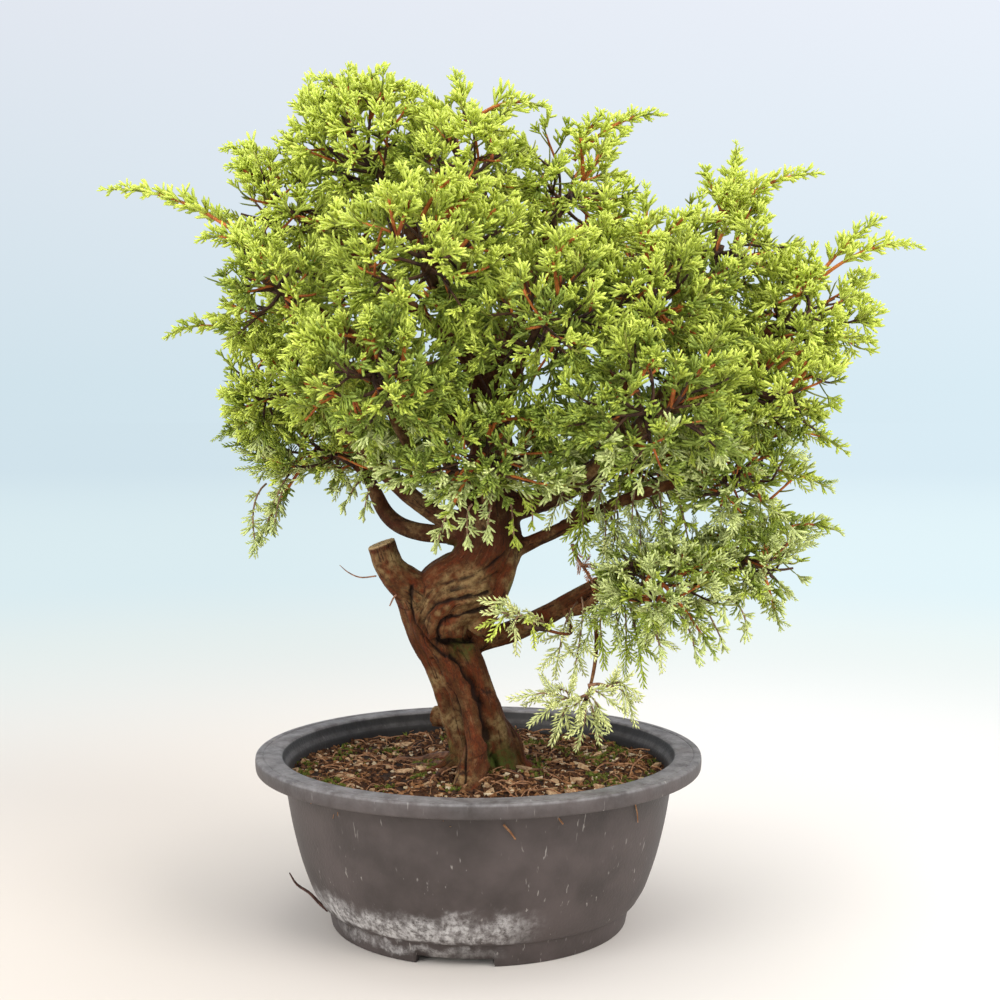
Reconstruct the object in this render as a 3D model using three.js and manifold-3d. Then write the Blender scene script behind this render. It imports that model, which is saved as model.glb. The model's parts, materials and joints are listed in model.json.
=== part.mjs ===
// A Chinese juniper bonsai of the fine-leaved Itoigawa kind, in a round plastic training pot.
// Millimetres, +Z up, the front of the tree towards -Y. The pot's axis is x = 0, y = 0 while the
// tree is grown, and the finished group is moved so that its box stands centred on the origin.
import * as THREE from "three";
import { mergeVertices } from "three/addons/utils/BufferGeometryUtils.js";
import Module from "manifold-3d";

const wasm = await Module();
wasm.setup();

// Driving dimensions
const RIM_RADIUS = 100;
const RIM_TOP = 76.6;
const RIM_BAND = 6.4;
const LIP_INNER_RADIUS = 87.8;
const WALL = 2.6;
const FOOT_RADIUS = 66.4;
const FOOT_HEIGHT = 11;
const FOOT_WALL = 3.4;
const FLOOR_UNDERSIDE = 4.5;
const FLOOR_TOP = 7.5;
const POT_SIDES = 40;
const DRAIN_NOTCHES = 3;
const NOTCH_WIDTH = 33;
const NOTCH_HEIGHT = 3.6;
const FIRST_NOTCH_TURN = -98;
const SOIL_TOP = 67;
const GAP = 0.3;
const CUT_GAP = 0.45;

// Foliage rule
const TWIGS_PER_MASS = 4;
const TWIG_REACH = 0.5;
const CORE_SHARE = 0.54;
const TUFT_SHARE = 0.84;
const SPRAY_LENGTH = 28;
const SPRAY_WIDTH = 21;
const LEAST_SPRAY = 9;
const SMALLEST_EDGE = 0.5;
const SMALLEST_CUT_EDGE = 0.1;
const SHOOT_SPRAY = 12;
const SPRAY_THICKNESS = 1.8;
const TWIG_RADIUS = 1.3;
const SHOOT_RADIUS = 1.3;
const SHOOT_ROOM = 13;
const LIMB_ROOM = 1;
const CELL_MARGIN = 0.035;
const GOLDEN_ANGLE = Math.PI * (3 - Math.sqrt(5));

const UP = new THREE.Vector3(0, 0, 1);
const v = (x, y, z) => new THREE.Vector3(x, y, z);
const radians = THREE.MathUtils.degToRad;

// Finishes
const finish = (color, roughness) =>
  new THREE.MeshStandardMaterial({ color, roughness, metalness: 0 });
const FINISHES = {
  pot: finish(0x413d42, 0.7),
  soil: finish(0x5a4030, 0.95),
  bark: finish(0x6f4534, 0.8),
  foliage: finish(0x7f9c46, 0.75),
};

// Random numbers from a seed: mulberry32, which gives the same row of numbers everywhere
function seeded(seed) {
  let state = seed >>> 0;
  return () => {
    state = (state + 0x6d2b79f5) >>> 0;
    let t = state;
    t = Math.imul(t ^ (t >>> 15), t | 1);
    t ^= t + Math.imul(t ^ (t >>> 7), t | 61);
    return ((t ^ (t >>> 14)) >>> 0) / 4294967296;
  };
}

// Solids: a closed geometry becomes a manifold for joining and cutting, and comes back as a geometry
function solidOf(geometry) {
  const plain = geometry.index ? geometry.toNonIndexed() : geometry.clone();
  plain.deleteAttribute("normal");
  plain.deleteAttribute("uv");
  const merged = mergeVertices(plain, 1e-4);
  return new wasm.Manifold(
    new wasm.Mesh({
      numProp: 3,
      vertProperties: merged.attributes.position.array,
      triVerts: new Uint32Array(merged.index.array),
    }),
  );
}

// Whether two sheets of a solid's surface meet along an edge, which a closed body may not have
function touchesItself(solid) {
  const { vertProperties, triVerts, numProp } = solid.getMesh();
  const placeOf = (i) =>
    Array.from(vertProperties.subarray(i * numProp, i * numProp + 3), (x) => x.toFixed(4)).join();
  const uses = new Map();
  for (let k = 0; k < triVerts.length; k += 3) {
    const places = Array.from(triVerts.subarray(k, k + 3), placeOf);
    if (new Set(places).size < 3) continue;
    for (const [i, j] of [[0, 1], [1, 2], [2, 0]]) {
      const edge = [places[i], places[j]].sort().join(" ");
      uses.set(edge, (uses.get(edge) ?? 0) + 1);
    }
  }
  return [...uses.values()].some((count) => count !== 2);
}

function geometryOf(solid) {
  const { vertProperties, triVerts, numProp, numVert } = solid.getMesh();
  const positions = new Float32Array(numVert * 3);
  for (let i = 0; i < numVert; i++)
    positions.set(vertProperties.subarray(i * numProp, i * numProp + 3), i * 3);
  const geometry = new THREE.BufferGeometry();
  geometry.setAttribute("position", new THREE.BufferAttribute(positions, 3));
  geometry.setIndex(new THREE.BufferAttribute(triVerts, 1));
  geometry.computeVertexNormals();
  return geometry;
}

// Joining and cutting leave slivers and scraps: slivers are smoothed out, and scraps are dropped
const simpler = (solid, smallest) => solid.asOriginal().simplify(smallest);
const biggestPiece = (solid) =>
  simpler(
    solid.decompose().sort((a, b) => b.volume() - a.volume())[0],
    SMALLEST_CUT_EDGE,
  );

// A cylinder bent along a curve; radiusAt takes the share along it and the angle round it
function bentTube(curve, radiusAt, sides, steps) {
  const geometry = new THREE.CylinderGeometry(1, 1, 1, sides, steps);
  const frames = curve.computeFrenetFrames(steps, false);
  const places = curve.getSpacedPoints(steps);
  const position = geometry.attributes.position;
  for (let i = 0; i < position.count; i++) {
    const [x, y, z] = [position.getX(i), position.getY(i), position.getZ(i)];
    const station = Math.round((y + 0.5) * steps);
    const angle = Math.atan2(z, x);
    const radius = Math.hypot(x, z) * radiusAt(station / steps, angle);
    const place = places[station]
      .clone()
      .addScaledVector(frames.binormals[station], radius * Math.cos(angle))
      .addScaledVector(frames.normals[station], radius * Math.sin(angle));
    position.setXYZ(i, place.x, place.y, place.z);
  }
  return geometry;
}

const taper = (from, to, extra = 0) => (share) =>
  from + (to - from) * share + extra;

// The bowl's outside above the foot, as heights and radii, and its radius at any height between
const BOWL = [
  [FOOT_HEIGHT, FOOT_RADIUS + 5],
  [17, 75.4],
  [34, 81],
  [RIM_TOP - RIM_BAND, 87.6],
];
function bowlRadius(height) {
  const above = BOWL.findIndex(([level]) => level >= height);
  const k = above < 0 ? BOWL.length - 1 : Math.max(1, above);
  const [[h0, r0], [h1, r1]] = [BOWL[k - 1], BOWL[k]];
  return THREE.MathUtils.mapLinear(height, h0, h1, r0, r1);
}

// The inside of the wall up to a height, from the floor, kept clear by a gap for what fills it
function wallInside(top, clear = 0) {
  const floor = [FOOT_RADIUS - 0.6 - clear, FLOOR_TOP + clear];
  const levels = BOWL.slice(1).map(([level]) => level);
  const heights = [...levels.filter((level) => level < top), top];
  return [floor, ...heights.map((h) => [bowlRadius(h) - WALL - clear, h])];
}

// A profile of radii and heights turned about +Z
function turned(profile) {
  const geometry = new THREE.LatheGeometry(
    profile.map(([radius, height]) => new THREE.Vector2(radius, height)),
    POT_SIDES,
  );
  geometry.rotateX(Math.PI / 2);
  return geometry;
}

// Pot: one profile from the middle of the underside, out round the foot and rim, and back inside
function potSolid() {
  const bandFoot = RIM_TOP - RIM_BAND;
  const footInside = FOOT_RADIUS - FOOT_WALL;
  const under = [[0, FLOOR_UNDERSIDE], [footInside, FLOOR_UNDERSIDE], [footInside, 0]];
  const foot = [[FOOT_RADIUS, 0], [FOOT_RADIUS + 2, FOOT_HEIGHT - 1.5]];
  const rim = [
    [RIM_RADIUS - 0.8, bandFoot],
    [RIM_RADIUS, bandFoot + 1],
    [RIM_RADIUS, RIM_TOP - 1.2],
    [RIM_RADIUS - 1.2, RIM_TOP],
    [LIP_INNER_RADIUS + 1, RIM_TOP],
    [LIP_INNER_RADIUS, RIM_TOP - 1.5],
  ];
  const outside = BOWL.map(([height, radius]) => [radius, height]);
  const inside = wallInside(bandFoot).reverse();
  let pot = solidOf(turned([...under, ...foot, ...outside, ...rim, ...inside, [0, FLOOR_TOP]]));
  for (let k = 0; k < DRAIN_NOTCHES; k++) {
    const notch = new THREE.BoxGeometry(2 * FOOT_WALL, NOTCH_WIDTH, 2 * NOTCH_HEIGHT);
    notch.translate(FOOT_RADIUS - FOOT_WALL / 2, 0, 0);
    notch.rotateZ(radians(FIRST_NOTCH_TURN + (360 / DRAIN_NOTCHES) * k));
    pot = pot.subtract(solidOf(notch));
  }
  return pot;
}

// Soil: one block that fills the pot to its level
const soilSolid = () =>
  solidOf(turned([[0, FLOOR_TOP + GAP], ...wallInside(SOIL_TOP, GAP), [0, SOIL_TOP]]));

// Trunk: its middle line from the soil, left to the knee, back to the right and up, with its radius
const TRUNK_LINE = [
  [6, 0, 58, 17],
  [3, 1, 74, 15.2],
  [-4, 2, 96, 14],
  [-11, 3, 116, 13.8],
  [-17.5, 1, 133, 14.6],
  [-15, -3, 147, 15],
  [-2.5, -4, 157, 13.6],
  [4.5, -2, 168, 13.8],
  [4, 1, 181, 13.6],
  [4, 4, 196, 11],
  [6, 6, 216, 8.6],
  [2, 7, 240, 7],
  [-8, 6, 265, 5.6],
  [-20, 3, 290, 4.2],
  [-33, -2, 315, 3],
];
const TRUNK_SIDES = 12;
const TRUNK_STEPS = 26;
const FLUTES = 5;
const FLUTE_DEPTH = 0.07;
const FLUTE_TWIST = 2.4;
const trunkCurve = new THREE.CatmullRomCurve3(
  TRUNK_LINE.map(([x, y, z]) => v(x, y, z)),
  false,
  "centripetal",
);
trunkCurve.arcLengthDivisions = 400;

// Share along the trunk of each station of its line, and the radius between stations
const trunkShares = stationShares(trunkCurve, TRUNK_LINE.length);
function trunkRadius(share) {
  const after = trunkShares.findIndex((s) => s >= share - 1e-9);
  const k = after < 0 ? TRUNK_LINE.length - 1 : Math.max(1, after);
  const [from, to] = [trunkShares[k - 1], trunkShares[k]];
  const [thick, thin] = [TRUNK_LINE[k - 1][3], TRUNK_LINE[k][3]];
  return THREE.MathUtils.mapLinear(share, from, to, thick, thin);
}

function stationShares(curve, count) {
  const lengths = curve.getLengths();
  const total = lengths[lengths.length - 1];
  return Array.from({ length: count }, (_, k) => {
    const place = (k / (count - 1)) * (lengths.length - 1);
    const low = Math.floor(place);
    const high = Math.min(lengths.length - 1, low + 1);
    return THREE.MathUtils.lerp(lengths[low], lengths[high], place - low) / total;
  });
}

// Surface roots: turn about the trunk's foot in degrees, reach from it and radius where it leaves
const ROOTS = [
  { turn: -102, reach: 42, radius: 5.6 },
  { turn: 4, reach: 21, radius: 6 },
  { turn: 198, reach: 34, radius: 3.8 },
  { turn: 150, reach: 30, radius: 4.8 },
  { turn: 92, reach: 28, radius: 5 },
  { turn: 46, reach: 25, radius: 4.4 },
];
const ROOT_CREST = 34;
const ROOT_TIP_SHARE = 0.6;

// The sawn stub on the outside of the knee, and the knob low on the trunk's left
const STUBS = [
  {
    line: [v(-18, -3, 143), v(-29, -8, 150), v(-37, -10, 159), v(-43.5, -11, 169.5)],
    radii: [9, 5.6],
  },
  { line: [v(-2, 3, 84), v(-10, 6, 87), v(-15, 9, 89), v(-19, 11, 90)], radii: [5.5, 4] },
];

const foot = v(4, 0, SOIL_TOP);
function rootTube({ turn, reach, radius }, extra) {
  const out = v(Math.cos(radians(turn)), Math.sin(radians(turn)), 0);
  const crest = trunkCurve.getPointAt(ROOT_CREST / trunkCurve.getLength());
  const curve = new THREE.CatmullRomCurve3([
    crest.addScaledVector(out, 5),
    foot.clone().addScaledVector(out, 10).addScaledVector(UP, ROOT_CREST * 0.36),
    foot.clone().addScaledVector(out, reach * 0.64).addScaledVector(UP, radius * 0.4),
    foot.clone().addScaledVector(out, reach).addScaledVector(UP, -radius * 0.4),
  ]);
  const radiusAt = taper(radius, radius * ROOT_TIP_SHARE, extra);
  return bentTube(curve, radiusAt, 6, 4);
}

function trunkSolid(extra = 0) {
  const flutes = (share, angle) =>
    1 + FLUTE_DEPTH * Math.cos(FLUTES * angle + FLUTE_TWIST * share * Math.PI);
  const radiusAt = (share, angle) =>
    trunkRadius(share) * flutes(share, angle) + extra;
  const stem = solidOf(bentTube(trunkCurve, radiusAt, TRUNK_SIDES, TRUNK_STEPS));
  const stubs = STUBS.map(({ line, radii }) =>
    solidOf(bentTube(new THREE.CatmullRomCurve3(line), taper(...radii, extra), 8, 3)),
  );
  const roots = ROOTS.map((root) => solidOf(rootTube(root, extra)));
  return wasm.Manifold.union([stem, ...stubs, ...roots]).trimByPlane(
    [0, 0, 1],
    SOIL_TOP + GAP,
  );
}

// Masses of foliage: the middle and half-sizes of the space each keeps to, and the long shoots that
// stand out of it, given by their tips
const MASSES = {
  crown_top: { at: [-54, -8, 349], half: [37, 35, 31], shoots: [[-41, -10, 380], [-60, -12, 376]] },
  top_middle: { at: [-5, -20, 338], half: [38, 35, 31], shoots: [[-10, -20, 376], [32, -24, 359]] },
  top_left: { at: [-89, 4, 319], half: [33, 34, 32], shoots: [[-115, 0, 347]] },
  left_upper: { at: [-91, -30, 283], half: [32, 32, 27], shoots: [[-162, -24, 325], [-120, -34, 302]] },
  left_middle: { at: [-86, -12, 242], half: [36, 34, 26], shoots: [[-137, -18, 263]] },
  left_low: { at: [-74, 14, 212], half: [42, 34, 20], shoots: [[-103, 4, 163], [-120, 6, 218]] },
  left_front: { at: [-42, -66, 244], half: [44, 34, 32], shoots: [[-76, -90, 250]] },
  middle_front: { at: [-22, -64, 292], half: [44, 34, 35], shoots: [[-2, -90, 318]] },
  top_right: { at: [42, -4, 326], half: [37, 35, 32], shoots: [[56, -10, 361], [83, -8, 360]] },
  heart: { at: [28, -58, 268], half: [41, 34, 35], shoots: [[48, -88, 300]] },
  skirt_front: { at: [3, -52, 211], half: [46, 30, 26], shoots: [[36, -74, 218], [-14, -64, 180]] },
  right_heart: { at: [74, -38, 280], half: [42, 36, 36], shoots: [[70, -40, 324], [92, -56, 312]] },
  right_top: { at: [108, -2, 302], half: [37, 36, 33], shoots: [[114, -6, 348], [152, -8, 334]] },
  right_upper: { at: [146, -8, 272], half: [33, 34, 28], shoots: [[196, -10, 302], [178, -8, 315]] },
  right_middle: { at: [129, -24, 237], half: [35, 34, 25], shoots: [[173, -22, 260]] },
  right_front: { at: [72, -68, 232], half: [44, 34, 34], shoots: [[62, -92, 264]] },
  right_low: { at: [114, -20, 200], half: [36, 34, 25], shoots: [[163, -18, 212], [156, -20, 195]] },
  right_foot: { at: [126, -2, 162], half: [34, 33, 20], shoots: [[164, -2, 176], [135, -8, 130]] },
  right_skirt: { at: [80, -22, 154], half: [34, 28, 24], shoots: [[104, -26, 121], [70, -26, 124]] },
  hanging_tuft: {
    at: [44, -24, 97],
    half: [20, 15, 13],
    shoots: [[24, -26, 104], [71, -24, 101], [46, -26, 82]],
  },
  knee_sprig: { at: [20, -30, 136], half: [17, 11, 10], shoots: [[4, -32, 139]] },
  back_top: { at: [-34, 50, 324], half: [44, 35, 36], shoots: [[-40, 62, 360]] },
  back_left: { at: [-76, 58, 274], half: [44, 36, 36], shoots: [[-112, 72, 298]] },
  back_left_low: { at: [-44, 66, 228], half: [43, 34, 29], shoots: [[-78, 86, 226]] },
  back_middle: { at: [14, 68, 284], half: [45, 36, 37], shoots: [[10, 100, 310]] },
  back_right_top: { at: [76, 52, 292], half: [43, 36, 36], shoots: [[92, 66, 328]] },
  back_right: { at: [120, 50, 248], half: [42, 36, 34], shoots: [[156, 66, 264]] },
  back_right_low: { at: [76, 62, 206], half: [45, 34, 29], shoots: [[112, 82, 198]] },
};

// Limbs: what each grows from and where along it, its two radii, the pull it leaves with and the
// pull it arrives with. It ends in the near side of the mass that has its name.
const LIMBS = {
  left_low: { from: "trunk", where: 0.465, radii: [4.4, 2.6], leave: [-58, -2, -6], arrive: [-16, 3, 14] },
  left_middle: {
    from: "trunk",
    where: 0.475, radii: [5.2, 2.4],
    leave: [-30, 0, -2],
    arrive: [-26, -2, 24],
  },
  left_front: {
    from: "trunk",
    where: 0.5, radii: [4.4, 2.2],
    leave: [-20, -16, 8],
    arrive: [-6, -16, 18],
  },
  left_upper: { from: "trunk", where: 0.62, radii: [4, 2], leave: [-26, -6, 10], arrive: [-28, -8, 16] },
  top_left: { from: "trunk", where: 0.76, radii: [3.4, 1.8], leave: [-24, 0, 14], arrive: [-22, 2, 12] },
  top_middle: { from: "trunk", where: 0.8, radii: [3.2, 1.8], leave: [8, -6, 16], arrive: [4, -6, 20] },
  top_right: { from: "trunk", where: 0.7, radii: [4, 1.8], leave: [18, -2, 20], arrive: [12, -2, 24] },
  middle_front: {
    from: "trunk",
    where: 0.66, radii: [3.4, 1.8],
    leave: [-4, -20, 10],
    arrive: [-4, -20, 12],
  },
  heart: { from: "trunk", where: 0.59, radii: [3.8, 1.8], leave: [6, -18, 14], arrive: [8, -18, 18] },
  skirt_front: { from: "trunk", where: 0.5, radii: [3.8, 2], leave: [2, -16, 0], arrive: [0, -14, 6] },
  right_upper: {
    from: "trunk",
    where: 0.51, radii: [6.2, 2.4],
    leave: [40, -4, -10],
    arrive: [42, 0, 22],
  },
  right_top: {
    from: "right_upper",
    where: 0.52, radii: [3.8, 1.8],
    leave: [16, 4, 22],
    arrive: [8, 0, 26],
  },
  right_heart: {
    from: "right_upper",
    where: 0.36, radii: [3.6, 1.8],
    leave: [8, -10, 22],
    arrive: [6, -10, 20],
  },
  right_middle: {
    from: "right_upper",
    where: 0.64, radii: [3.4, 1.8],
    leave: [18, -8, 2],
    arrive: [18, -2, 4],
  },
  right_front: {
    from: "right_upper",
    where: 0.24, radii: [3.4, 1.8],
    leave: [8, -18, 6],
    arrive: [4, -16, 8],
  },
  right_low: { from: "trunk", where: 0.42, radii: [3.4, 2.2], leave: [30, 2, 7], arrive: [30, -6, 4] },
  right_foot: {
    from: "trunk",
    where: 0.265, radii: [5.8, 2.6],
    leave: [38, 6, -17],
    arrive: [42, 0, -10],
  },
  right_skirt: {
    from: "right_foot",
    where: 0.42, radii: [2.8, 1.6],
    leave: [18, -8, -2],
    arrive: [14, -6, 3],
  },
  hanging_tuft: {
    from: "right_foot",
    where: 0.55, radii: [1.9, 1.1],
    leave: [2, -14, -14],
    arrive: [-6, -4, -18],
  },
  knee_sprig: {
    from: "right_foot",
    where: 0.44, radii: [1.7, 1],
    leave: [4, -20, -10],
    arrive: [-14, -2, 4],
  },
  back_top: { from: "trunk", where: 0.74, radii: [3.2, 1.8], leave: [-2, 16, 14], arrive: [-4, 18, 16] },
  back_left: { from: "trunk", where: 0.6, radii: [4, 2], leave: [-18, 16, 8], arrive: [-20, 16, 14] },
  back_left_low: {
    from: "trunk",
    where: 0.5, radii: [3.8, 1.8],
    leave: [-12, 18, 2],
    arrive: [-12, 18, 6],
  },
  back_middle: { from: "trunk", where: 0.57, radii: [4, 2], leave: [2, 18, 12], arrive: [4, 20, 16] },
  back_right_top: {
    from: "right_upper",
    where: 0.44, radii: [3.6, 1.8],
    leave: [4, 18, 18],
    arrive: [4, 16, 24],
  },
  back_right: {
    from: "right_upper",
    where: 0.58, radii: [3.4, 1.8],
    leave: [10, 20, 6],
    arrive: [12, 18, 8],
  },
  back_right_low: {
    from: "right_low",
    where: 0.4, radii: [2.8, 1.8],
    leave: [6, 22, 0],
    arrive: [10, 18, 4],
  },
};
const ENTRY_SHARE = 0.6;
const LIMB_SIDES = 5;
const LIMB_STEP = 17;

const vec = (list) => v(...list);
const masses = Object.entries(MASSES).map(([name, { at, half, shoots }], k) => ({
  name,
  middle: vec(at),
  half: vec(half),
  tips: shoots.map(vec),
  seed: 101 + 17 * k,
}));

// Limb curves, worked out parent first
const limbs = { trunk: { curve: trunkCurve, radiusAt: trunkRadius } };
for (const [name, { from, where, radii, leave, arrive }] of Object.entries(LIMBS)) {
  const { middle, half } = masses.find((mass) => mass.name === name);
  const start = limbs[from].curve.getPointAt(where);
  const heading = vec(arrive).normalize();
  const end = middle.clone().sub(heading.clone().multiply(half).multiplyScalar(ENTRY_SHARE));
  const curve = new THREE.CubicBezierCurve3(
    start,
    start.clone().add(vec(leave)),
    end.clone().sub(vec(arrive)),
    end,
  );
  limbs[name] = { curve, radiusAt: taper(...radii), from, radii };
}

function limbTube(name, extra = 0) {
  const { curve, radii } = limbs[name];
  const steps = Math.max(2, Math.round(curve.getLength() / LIMB_STEP));
  return solidOf(bentTube(curve, taper(...radii, extra), LIMB_SIDES, steps));
}

// Where foliage may be: how deep a point lies in a mass's space, 0 at its middle and 1 at its edge
const depthIn = (mass, point) =>
  point.clone().sub(mass.middle).divide(mass.half).length();

function nearestOnLine(point, a, b) {
  const line = b.clone().sub(a);
  const t = THREE.MathUtils.clamp(point.clone().sub(a).dot(line) / line.lengthSq(), 0, 1);
  return point.distanceTo(a.clone().addScaledVector(line, t));
}

function keepsTo(mass, point, besideShoot = false) {
  const own = depthIn(mass, point);
  const alongShoot =
    besideShoot &&
    mass.tips.some((tip) => nearestOnLine(point, mass.middle, tip) < SHOOT_ROOM);
  if (own > 1 && !alongShoot) return false;
  return masses.every((other) => {
    if (other === mass) return true;
    const theirs = depthIn(other, point);
    return theirs > 1.06 || own < theirs - CELL_MARGIN;
  });
}

const limbStations = Object.values(limbs).flatMap(({ curve, radiusAt }) =>
  Array.from({ length: 41 }, (_, k) => ({
    place: curve.getPointAt(k / 40),
    radius: radiusAt(k / 40),
  })),
);
const clearOfLimbs = (point, room) =>
  limbStations.every(
    ({ place, radius }) => place.distanceTo(point) > radius * 1.08 + room,
  );

// A spray of needles: a flat blade with teeth, growing along +Y from a root at the origin
function sprayGeometry(length, width, teeth) {
  const outline = [];
  for (let k = 0; k < teeth; k++) {
    const side = teeth === 1 ? 0 : (2 * k) / (teeth - 1) - 1;
    const reach = length * (1 - 0.24 * Math.abs(side));
    outline.push(new THREE.Vector2((side * width) / 2, reach));
    if (k < teeth - 1)
      outline.push(
        new THREE.Vector2(((side + 1 / (teeth - 1)) * width) / 2.6, length * 0.62),
      );
  }
  const shape = new THREE.Shape([new THREE.Vector2(0, 0), ...outline.reverse()]);
  const blade = new THREE.ExtrudeGeometry(shape, {
    depth: SPRAY_THICKNESS,
    bevelEnabled: false,
  });
  blade.translate(0, 0, -SPRAY_THICKNESS / 2);
  return blade;
}

// The same blade, standing at a place, pointing one way and turned about that way
function placedSpray({ root, heading, turn, length, width, teeth }) {
  const blade = sprayGeometry(length, width, teeth);
  const aim = new THREE.Quaternion().setFromUnitVectors(v(0, 1, 0), heading);
  const spin = new THREE.Quaternion().setFromAxisAngle(v(0, 1, 0), turn);
  blade.applyQuaternion(aim.multiply(spin));
  blade.translate(root.x, root.y, root.z);
  return blade;
}

// A spray that has no room is tried shorter and narrower, and is left out where it stays too small
function fittedBlade(spray, hasRoom) {
  for (let size = 1; size > 0.6; size -= 0.15) {
    const length = size * spray.length;
    if (length < LEAST_SPRAY) return null;
    const blade = placedSpray({ ...spray, length, width: size * spray.width });
    if (hasRoom(cornersOf(blade))) return blade;
  }
  return null;
}

const cornersOf = (geometry) => {
  const { position } = geometry.attributes;
  return Array.from({ length: position.count }, (_, k) =>
    new THREE.Vector3().fromBufferAttribute(position, k),
  );
};

// A twig of three sides between two places, thinner at its far end
function twigTube(start, end, from, to) {
  return bentTube(new THREE.LineCurve3(start, end), taper(from, to), 3, 1);
}

// The seeded rule: a stem in from the limb's tip, twigs spread round it by the golden angle, and
// sprays at the end and on the sides of each twig
function stemOf(mass) {
  const limb = limbs[mass.name] ?? limbs.trunk;
  const tip = limb.curve.getPointAt(1);
  const heading = limb.curve.getTangentAt(1);
  const start = tip.clone().addScaledVector(heading, GAP);
  return { start, heading, end: mass.middle.clone(), radius: limb.radiusAt(1) };
}

function twigsOf(mass, stem, random) {
  const turn = random() * 2 * Math.PI;
  const back = stem.start.clone().sub(mass.middle).normalize();
  const twigs = [];
  for (let k = 0; k < TWIGS_PER_MASS; k++) {
    const height = 1 - (2 * (k + 0.5)) / TWIGS_PER_MASS;
    const flat = Math.sqrt(1 - height * height);
    const angle = turn + k * GOLDEN_ANGLE;
    const way = v(flat * Math.cos(angle), flat * Math.sin(angle), height);
    if (way.dot(back) > 0.75) way.addScaledVector(back, -1.2).normalize();
    const reach = TWIG_REACH * (0.9 + 0.2 * random());
    const leaves = stem.start.clone().lerp(stem.end, 0.6 + 0.35 * random());
    const end = mass.middle.clone().add(way.clone().multiply(mass.half).multiplyScalar(reach));
    twigs.push({ start: leaves, end });
  }
  return twigs;
}

// How far one can go from a place in a direction and still be in the mass's own space
function freeReach(mass, place, heading, most) {
  const step = 2;
  let reach = 0;
  const probe = place.clone();
  while (reach < most) {
    probe.addScaledVector(heading, step);
    if (!keepsTo(mass, probe)) break;
    reach += step;
  }
  return reach;
}

// Sprays of one twig: one goes on from its end, and one stands to its side
function spraysOf(mass, twig, random) {
  const along = twig.end.clone().sub(twig.start).normalize();
  const side = new THREE.Vector3().crossVectors(along, UP);
  if (side.lengthSq() < 0.01) side.set(1, 0, 0);
  side.normalize();
  if (random() < 0.5) side.negate();
  const places = [
    { share: 0.8, lean: 0.25, teeth: 3 },
    { share: 0.7, lean: -1.1, teeth: 2 },
  ];
  return places.map(({ share, lean, teeth }) => {
    const root = twig.start.clone().lerp(twig.end, share);
    const heading = along
      .clone()
      .addScaledVector(side, lean)
      .addScaledVector(UP, 0.15 + 0.3 * random())
      .normalize();
    const most = SPRAY_LENGTH * (0.85 + 0.3 * random());
    const length = freeReach(mass, root, heading, most);
    const width = SPRAY_WIDTH * (0.85 + 0.3 * random());
    return { root, heading, turn: random() * Math.PI, length, width, teeth };
  });
}

// Small sprays of a long shoot, beyond the space that it stands out of: one ends at the shoot's tip
function shootSprays(stemStart, tip, random) {
  const line = tip.clone().sub(stemStart);
  const along = line.clone().normalize();
  const side = new THREE.Vector3().crossVectors(along, UP).normalize();
  const length = SHOOT_SPRAY;
  const spray = (back, heading) => ({
    root: tip.clone().addScaledVector(along, -back),
    heading: heading.normalize(),
    turn: random() * Math.PI,
    length,
    width: 0.75 * length,
    teeth: 2,
  });
  const sideways = along.clone().addScaledVector(side, 1).addScaledVector(UP, 0.3);
  return [spray(length, along.clone()), spray(2.1 * length, sideways)];
}

// The core: a ball of tufts, one pointed tuft on each face of an icosahedron, in the mass's own space
function coreGeometry(mass, random) {
  const ball = new THREE.IcosahedronGeometry(1, 0);
  const corners = cornersOf(ball);
  const placed = new Map();
  const place = (way, share) => {
    const key = way.toArray().map((x) => x.toFixed(3)).join();
    if (!placed.has(key)) {
      const at = (part) =>
        mass.middle.clone().add(way.clone().multiply(mass.half).multiplyScalar(part));
      let part = share * (0.85 + 0.3 * random());
      while (part > 0.1 && !keepsTo(mass, at(part))) part -= 0.04;
      placed.set(key, at(part));
    }
    return placed.get(key);
  };
  const faces = [];
  for (let k = 0; k < corners.length; k += 3) {
    const [a, b, c] = corners.slice(k, k + 3);
    const out = a.clone().add(b).add(c).normalize();
    const point = place(out, TUFT_SHARE);
    const [p, q, r] = [a, b, c].map((corner) => place(corner, CORE_SHARE));
    faces.push(p, q, point, q, r, point, r, p, point);
  }
  return new THREE.BufferGeometry().setFromPoints(faces);
}

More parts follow.
